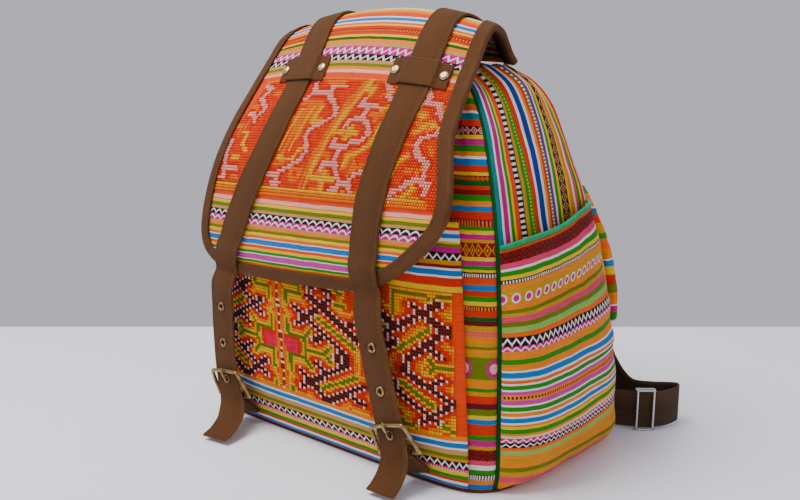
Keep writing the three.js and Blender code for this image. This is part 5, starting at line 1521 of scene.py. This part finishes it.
class BACKPACK_OT_pockets(bpy.types.Operator):
    """Make the front pocket, the two gathered side pockets and their piping"""

    bl_idname = "backpack.pockets"
    bl_label = "Pockets"

    def execute(self, context):
        rib = context.scene.pack_cloth.rib
        front = woven("Loomed Cotton, Pocket Bands", POCKET_STRIPES, POCKET_MOTIFS, pitch=rib)
        banded = woven("Loomed Cotton, Fine Bands", SIDE_POCKET_STRIPES, SIDE_POCKET_MOTIFS, pitch=rib)
        piece("front_pocket_cloth", front_pocket_mesh(), [front, lining_material()], "embroidered_cloth",
              "front_pocket")
        cord = made_once("Satin Cotton Piping", yarn, tuple(context.scene.pack_cloth.piping), rough=0.5)
        for side in ("left", "right"):
            outer, inner, uv = side_pocket_grid(side)
            piece(f"side_pocket_{side}_cloth", mesh_of(f"side_pocket_{side}", *shell(outer, inner, uv)),
                  [banded, lining_material()], "striped_cloth", f"side_pocket_{side}")
            mouth = (outer[-1] + inner[-1]) / 2 + Z_AXIS * (PIPING_RADIUS + 0.2)
            body = sweep(mouth, Z_AXIS, circle(PIPING_RADIUS, 12))
            piece(f"pocket_piping_{side}_cord", mesh_of(f"piping_{side}", *body), [cord], "piping_cord",
                  f"pocket_piping_{side}")
        return {"FINISHED"}


class BACKPACK_OT_flap(bpy.types.Operator):
    """Drape the embroidered flap over the mouth and bind its edge"""

    bl_idname = "backpack.flap"
    bl_label = "Flap and Binding"

    def execute(self, context):
        cloth = woven("Loomed Cotton, Flap Bands", FLAP_STRIPES, FLAP_MOTIFS, pitch=context.scene.pack_cloth.rib)
        flap = piece("flap_cloth", flap_mesh(), [cloth, lining_material()], "embroidered_cloth", "flap")
        mesh, seam, facing = binding_mesh()
        binding = piece("flap_binding_tape", mesh, [canvas_material()], "brown_canvas", "flap_binding")
        thread = made_once("Machine Sewing Thread", yarn, tuple(context.scene.pack_trim.thread))
        points = stitch_points("flap_binding_seam", *running(
            seam, facing, context.scene.pack_cloth.seam_pitch))
        seam_piece = stitched("flap_binding_stitches", points, (0,), *SEAM_STITCH, thread, "brown_canvas")
        t = np.linspace(0, 1, 400)
        ones = np.ones(400)
        cut_area = np.trapz((flap_half(ones, t) + flap_half(-ones, t)), t * FLAP_LENGTH) * MM * MM
        return {"FINISHED"}


class BACKPACK_OT_embroidery(bpy.types.Operator):
    """Cross-stitch the flap and the front pocket"""

    bl_idname = "backpack.embroidery"
    bl_label = "Cross-Stitch"

    def execute(self, context):
        settings = context.scene.pack_cloth
        cell = settings.cell
        floss = made_once("Stranded Cotton Floss", yarn)
        i, j = (a.ravel() for a in np.meshgrid(np.arange(-46, 60), np.arange(int(FLAP_STITCH_TALL / cell))))
        v = FLAP_STITCH_FOOT + cell * (j + 0.5)
        x = (i + 0.5) * cell + lean(v)
        t = v / FLAP_LENGTH
        inside = np.abs(x) < flap_half(np.sign(x), t) - BINDING_WIDTH + 2
        x, t, v = x[inside], t[inside], v[inside]
        at, face = flap_face(x, t)
        ahead, _ = flap_face(x + 1, t)
        points = stitch_points("flap_floss", at + face * FLOSS_LIFT, face, unit(ahead - at),
                               flap_dyes((x - lean(v)) / CHART_CELL, (v - FLAP_CHART_FOOT) / CHART_CELL))
        stitched("flap_cross_stitch", points, (42, -42), cell * FLOSS_REACH, settings.thread, floss,
                 "embroidered_cloth")

        i, j = (a.ravel() for a in np.meshgrid(np.arange(-46, 80), np.arange(int(POCKET_STITCH_TALL / cell))))
        x = POCKET_CHART_MIDDLE + i * cell
        v = POCKET_STITCH_FOOT + cell * (j + 0.5)
        t = (v - POCKET_FOOT) / (POCKET_TOP - POCKET_FOOT)
        s = x / (POCKET_WIDTH / 2 - POCKET_TAPER * t)
        inside = (s > -0.965) & (s < 0.93)
        i, s, t, x, v = i[inside], s[inside], t[inside], x[inside], v[inside]
        at, face = pocket_place(s, t)
        ahead, _ = pocket_place(s + 0.006, t)
        points = stitch_points("pocket_floss", at + face * FLOSS_LIFT, face, unit(ahead - at),
                               pocket_dyes((x - POCKET_CHART_MIDDLE) / CHART_CELL,
                                           (v - POCKET_CHART_FOOT) / CHART_CELL, i % 2 == 0))
        stitched("pocket_cross_stitch", points, (45, -45), cell * FLOSS_REACH, settings.thread, floss,
                 "embroidered_cloth")
        return {"FINISHED"}


class BACKPACK_OT_straps(bpy.types.Operator):
    """Make the closing straps, their riveted patches, eyelets, buckles and leather tabs"""

    bl_idname = "backpack.straps"
    bl_label = "Closing Straps"

    def execute(self, context):
        trim = context.scene.pack_trim
        pitch = context.scene.pack_cloth.seam_pitch
        brass = made_once("Antiqued Brass", metal, tuple(trim.brass), linear("4a3a22"), 0.34, 0.75)
        caps = made_once("Brushed Brass Caps", metal, tuple(trim.rivet), linear("8d7650"), 0.3, 0.5)
        thread = made_once("Machine Sewing Thread", yarn, tuple(trim.thread))
        for side in ("left", "right"):
            body, edge, points, sides, first = strap_body(side)
            strap = mesh_of(f"closing_strap_{side}", body[0], body[1], body[2], edge=edge)
            holes = [strap_at(points, first, z) for z in EYELET_HEIGHTS]
            for hole in holes:
                n = 24
                drill = turned([(EYELET_HOLE + 0.7, -4), (EYELET_HOLE + 0.7, 7)], hole["at"], hole["side"],
                               hole["out"], sides=n, loop=False)
                faces = drill[1] + [list(range(n)), list(range(2 * n - 1, n - 1, -1))]
                strap = cut(f"closing_strap_{side}", strap, mesh_of("drill", drill[0], faces))
            strap.polygons.foreach_set("use_smooth", np.ones(len(strap.polygons), bool))
            piece(f"closing_strap_{side}_canvas", strap, [canvas_material()], "brown_canvas", f"closing_strap_{side}")
            for number, hole in enumerate(holes, 1):
                piece(f"eyelet_{side}_{number}_rolled", mesh_of("eyelet", *eyelet_body(hole)), [brass],
                      "antique_brass", f"eyelet_{side}_{number}")

            _, outs = frames(points, sides)
            rows = [running(points, outs, pitch, aside, lift=STRAP_CLOTH - 0.1)
                    for aside in (-HALF_STRAP + STRAP_SEAM, HALF_STRAP - STRAP_SEAM)]
            place = patch_place(side)
            for b in (-PATCH_LENGTH / 2 + PATCH_SEAM, PATCH_LENGTH / 2 - PATCH_SEAM):
                a = np.linspace(-PATCH_WIDTH / 2 + 3, PATCH_WIDTH / 2 - 3, 90)
                top = patch_bridge(a) + PATCH_CLOTH
                line = place(a, b + 0 * a, top)
                face = unit(place(a, b + 0 * a, top + 1) - line)
                rows.append(running(line, face, pitch, lift=-0.1))
            stitches = stitch_points(f"closing_strap_{side}_seams", *together(*rows))
            stitched(f"closing_strap_{side}_stitches", stitches, (0,), *SEAM_STITCH, thread, "brown_canvas")

            piece(f"strap_patch_{side}_canvas", patch_mesh(side), [canvas_material()], "brown_canvas",
                  f"strap_patch_{side}")
            for letter, sign in (("a", -1), ("b", 1)):
                a = np.array(sign * RIVET_SPACING / 2)
                at = place(a, 0.0, SEAT_GAP + PATCH_CLOTH)
                out = unit(place(a, 0.0, 1.0) - place(a, 0.0, 0.0))
                across = unit(X_AXIS - out * out[0])
                piece(f"rivet_{side}_{letter}_cap", mesh_of("rivet", *rivet_body(at, across, out)), [caps],
                      "antique_brass", f"rivet_{side}_{letter}")

            middle = strap_at(points, first, BUCKLE_BAR_UP)
            piece(f"buckle_frame_{side}_wire", mesh_of("buckle", *buckle_body(middle)), [brass], "antique_brass",
                  f"buckle_frame_{side}")
            piece(f"buckle_prong_{side}_wire", mesh_of("prong", *prong_body(middle, holes[-1])), [brass],
                  "antique_brass", f"buckle_prong_{side}")
            tab, slot_box = tab_body(middle)
            tab_mesh = cut(f"buckle_tab_{side}", mesh_of("tab", *tab), mesh_of("slot", *slot_box))
            tab_mesh.polygons.foreach_set("use_smooth", np.ones(len(tab_mesh.polygons), bool))
            piece(f"buckle_tab_{side}_canvas", tab_mesh, [canvas_material()], "brown_canvas", f"buckle_tab_{side}")
        return {"FINISHED"}


PLUMP_VOXEL = 4.5
PLUMP_PRESSURE = 4
PLUMP_STEPS = 20
PLUMP_SWELL = 3.0


def plumped(name, mesh):
    """The pad's mesh after cloth simulation under inner pressure: a soft, slightly crowned pad."""
    obj = put(name, mesh)
    remesh = obj.modifiers.new("Remesh", "REMESH")
    remesh.mode, remesh.voxel_size, remesh.use_smooth_shade = "VOXEL", PLUMP_VOXEL * MM, True
    bpy.context.view_layer.update()
    obj = put(name, settled_mesh(obj, name))
    start = points_of(obj.data)
    cloth = obj.modifiers.new("Cloth", "CLOTH")
    cloth.settings.use_pressure, cloth.settings.uniform_pressure_force = True, PLUMP_PRESSURE
    cloth.settings.effector_weights.gravity = 0
    cloth.point_cache.frame_start, cloth.point_cache.frame_end = 1, PLUMP_STEPS
    scene = bpy.context.scene
    for number in range(1, PLUMP_STEPS + 1):
        scene.frame_set(number)
    mesh = settled_mesh(obj, name)
    scene.frame_set(1)
    move = points_of(mesh) - start
    size = np.linalg.norm(move, axis=-1, keepdims=True)
    move *= np.minimum(1, PLUMP_SWELL * MM / np.maximum(size, 1e-9))
    mesh.vertices.foreach_set("co", (start + move).ravel())
    obj = put(name, mesh)
    obj.modifiers.new("Smooth", "SUBSURF").levels = 1
    obj.modifiers["Smooth"].render_levels = 1
    bpy.context.view_layer.update()
    return settled_mesh(obj, name)


class BACKPACK_OT_shoulder_straps(bpy.types.Operator):
    """Plump the shoulder pads and thread their webbing through the sliders"""

    bl_idname = "backpack.shoulder_straps"
    bl_label = "Shoulder Straps"

    def execute(self, context):
        trim = context.scene.pack_trim
        banded = woven("Loomed Cotton, Pad Bands", PAD_STRIPES, [], pitch=context.scene.pack_cloth.rib)
        tape = made_once("Ribbed Cotton Webbing", canvas, tuple(trim.webbing), pitch=2.2, worn=0.5)
        steel = made_once("Nickel-Plated Steel", metal, tuple(trim.steel), linear("77777a"), 0.2, 0.3)
        for side, hand in (("left", -1), ("right", 1)):
            body, path = pad_body(hand)
            mesh = plumped(f"shoulder_pad_{side}_cloth", mesh_of("pad", body[0], body[1]))
            at = points_of(mesh) / MM
            uv = np.stack([at[:, 0] - np.interp(-at[:, 2], -path[:, 2], path[:, 0]), PAD_TOP - at[:, 2]], -1)
            lay_uv(mesh, uv)
            pad = piece(f"shoulder_pad_{side}_cloth", mesh, [banded], "banded_cloth", f"shoulder_pad_{side}")

            line, sides = webbing_path(hand)
            w, h = WEBBING_WIDTH / 2, WEBBING_CLOTH / 2
            section = [(-w, -h * 0.5), (-w + 0.5, -h), (0, -h), (w - 0.5, -h), (w, -h * 0.5), (w, h * 0.5),
                       (w - 0.5, h), (w - 5, h), (w - 5.6, h - 0.25), (w - 6.2, h), (0, h), (-w + 6.2, h),
                       (-w + 5.6, h - 0.25), (-w + 5, h), (-w + 0.5, h), (-w, h * 0.5)]
            band = sweep(line, sides, section)
            edge = np.tile([1, .6, 0, .6, 1, 1, .6, 0, 0, 0, 0, 0, 0, 0, .6, 1], len(line))
            piece(f"webbing_{side}_tape", mesh_of("webbing", band[0], band[1], band[2], edge=edge), [tape],
                  "dark_webbing", f"webbing_{side}")

            k = round(SLIDER_ALONG * (len(line) - 1))
            across, out = frames(line, sides)
            at, side_way, out_way = line[k], across[k], out[k]
            run = np.cross(out_way, side_way)
            end_aside, over = WEBBING_WIDTH / 2 + 0.5 + SLIDER_BAR, WEBBING_CLOTH / 2 + 0.5
            bars = []
            for along, off in ((7.8, -hand), (-7.8, -hand), (0, hand)):
                centre = at + run * along + out_way * off * (over + SLIDER_BAR)
                ends = np.array([centre - side_way * end_aside, centre, centre + side_way * end_aside])
                bars.append(sweep(smooth_path(ends, 4), out_way, circle(1.25, 12)))
            for end in (-1, 1):
                centre = at + side_way * end * end_aside
                tall = over + 2 * SLIDER_BAR - 0.4
                rail = [centre + run * a * 8.2 + out_way * b * (tall - SLIDER_BAR) for a, b in (
                    (-1, -1), (0, -1), (1, -1), (1, 0), (1, 1), (0, 1), (-1, 1), (-1, 0))]
                bars.append(sweep(smooth_path(rail, 4, loop=True), side_way, circle(1.15, 10), loop=True))
            piece(f"slider_{side}_steel", mesh_of("slider", *joined(*bars)), [steel], "plated_steel",
                  f"slider_{side}")
        return {"FINISHED"}


# Where the photograph was taken from, in metres, and which way the camera looks; 800 pixels wide.
EYE = (0.627, -0.7295, 0.380)
EYE_DIP = 12.3
FOCUS_PIXELS = 1007
FORWARD, RIGHT = (-0.659, 0.752, 0.0), (0.752, 0.659, 0.0)
# The table top, in millimetres: how far before the camera its middle lies, half its sizes, and its corners.
TABLE_AHEAD, TABLE_HALF_WIDTH, TABLE_HALF_DEPTH, TABLE_CORNER = 640, 760, 500, 130


class BACKPACK_OT_stage(bpy.types.Operator):
    """Set up the camera, the pale table and the soft light"""

    bl_idname = "backpack.stage"
    bl_label = "Stage"

    def execute(self, context):
        scene = context.scene
        stage = scene.pack_stage
        forward, right = np.array(FORWARD), np.array(RIGHT)
        centre = np.array([EYE[0], EYE[1], 0]) / MM + forward * TABLE_AHEAD
        outline = []
        for x, y, turn in ((-1, -1, 180), (1, -1, 270), (1, 1, 0), (-1, 1, 90)):
            corner = centre + right * x * TABLE_HALF_WIDTH + forward * y * TABLE_HALF_DEPTH
            for angle in np.radians(np.linspace(turn, turn + 90, 16)):
                outline.append(corner + TABLE_CORNER * (right * math.cos(angle) + forward * math.sin(angle)))
        outline = np.array(outline)
        n = len(outline)
        rings = [(0, -40), (4, -39), (6, -36), (6, -5), (4, -1.5), (0, 0)]
        points, faces = [], []
        for grow, z in rings:
            away = unit(outline - centre)
            ring = outline + away * grow
            ring[:, 2] = z
            points.append(ring)
        for k in range(len(rings) - 1):
            faces += [[k * n + i, k * n + (i + 1) % n, (k + 1) * n + (i + 1) % n, (k + 1) * n + i] for i in range(n)]
        faces += [list(range(n))[::-1], list(range((len(rings) - 1) * n, len(rings) * n))]
        material, tree = new_material("Satin White Laminate")
        place = add(tree, "ShaderNodeTexCoord").outputs["Object"]
        grain = add(tree, "ShaderNodeTexNoise", {"Vector": place, "Scale": 350.0, "Detail": 4.0}).outputs[0]
        bump = add(tree, "ShaderNodeBump", {"Height": grain, "Distance": 0.0001, "Strength": 0.3}).outputs[0]
        shader = add(tree, "ShaderNodeBsdfPrincipled", {
            "Base Color": tuple(stage.table), "Roughness": 0.5, "Normal": bump})
        add(tree, "ShaderNodeOutputMaterial", {0: shader.outputs[0]})
        mesh = mesh_of("table_top", np.concatenate(points), faces)
        mesh.polygons.foreach_set("use_smooth", np.zeros(len(mesh.polygons), bool))
        mesh.materials.append(material)
        put("table_top", mesh)

        world = bpy.data.worlds.new("Studio Air")
        scene.world = world
        world.use_nodes = True
        world.node_tree.nodes.clear()
        air = add(world.node_tree, "ShaderNodeBackground", {"Color": tuple(stage.backdrop), "Strength": 0.75})
        add(world.node_tree, "ShaderNodeOutputWorld", {0: air.outputs[0]})

        for name, power, size, spot, aim in (
                ("soft_box", stage.key, 0.9, (-0.35, -0.55, 1.6), (0, 0, 0.2)),
                ("side_fill", stage.fill, 1.0, (1.7, 0.1, 0.9), (0, 0, 0.15)),
                ("back_fill", stage.fill * 0.6, 1.2, (-0.6, 1.5, 1.1), (0, 0, 0.2))):
            light = bpy.data.lights.new(name, "AREA")
            light.energy, light.size = power, size
            lamp = put(name, light)
            lamp.location = spot
            lamp.rotation_euler = (Vector(aim) - Vector(spot)).to_track_quat("-Z", "Y").to_euler()

        camera = bpy.data.cameras.new("photo_camera")
        camera.sensor_width, camera.lens = 36, FOCUS_PIXELS * 36 / 800
        camera.clip_start, camera.clip_end = 0.02, 50
        eye = put("photo_camera", camera)
        eye.location = EYE
        dip = math.radians(EYE_DIP)
        gaze = Vector((FORWARD[0] * math.cos(dip), FORWARD[1] * math.cos(dip), -math.sin(dip)))
        eye.rotation_euler = gaze.to_track_quat("-Z", "Y").to_euler()
        scene.camera = eye
        return {"FINISHED"}


OPERATORS = (
    BACKPACK_OT_sack, BACKPACK_OT_pockets, BACKPACK_OT_flap, BACKPACK_OT_embroidery, BACKPACK_OT_straps,
    BACKPACK_OT_shoulder_straps, BACKPACK_OT_stage,
)


class BACKPACK_PT_panel(bpy.types.Panel):
    """The backpack's settings and its makers"""

    bl_idname = "BACKPACK_PT_panel"
    bl_label = "Embroidered Backpack"
    bl_space_type = "VIEW_3D"
    bl_region_type = "UI"
    bl_category = "Backpack"

    def draw(self, context):
        for settings in (context.scene.pack_cloth, context.scene.pack_trim, context.scene.pack_stage):
            box = self.layout.box()
            for name in settings.__annotations__:
                box.prop(settings, name)
        for operator in OPERATORS:
            self.layout.operator(operator.bl_idname)


CLASSES = (PackClothSettings, PackTrimSettings, PackStageSettings) + OPERATORS + (BACKPACK_PT_panel,)


def register():
    for cls in CLASSES:
        bpy.utils.register_class(cls)
    bpy.types.Scene.pack_cloth = bpy.props.PointerProperty(type=PackClothSettings)
    bpy.types.Scene.pack_trim = bpy.props.PointerProperty(type=PackTrimSettings)
    bpy.types.Scene.pack_stage = bpy.props.PointerProperty(type=PackStageSettings)


def unregister():
    del bpy.types.Scene.pack_stage, bpy.types.Scene.pack_trim, bpy.types.Scene.pack_cloth
    for cls in reversed(CLASSES):
        bpy.utils.unregister_class(cls)


def main():
    """Registers the add-on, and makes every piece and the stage."""
    register()
    for name in ("sack", "pockets", "flap", "embroidery", "straps", "shoulder_straps", "stage"):
        getattr(bpy.ops.backpack, name)()


if __name__ == "__main__":
    main()
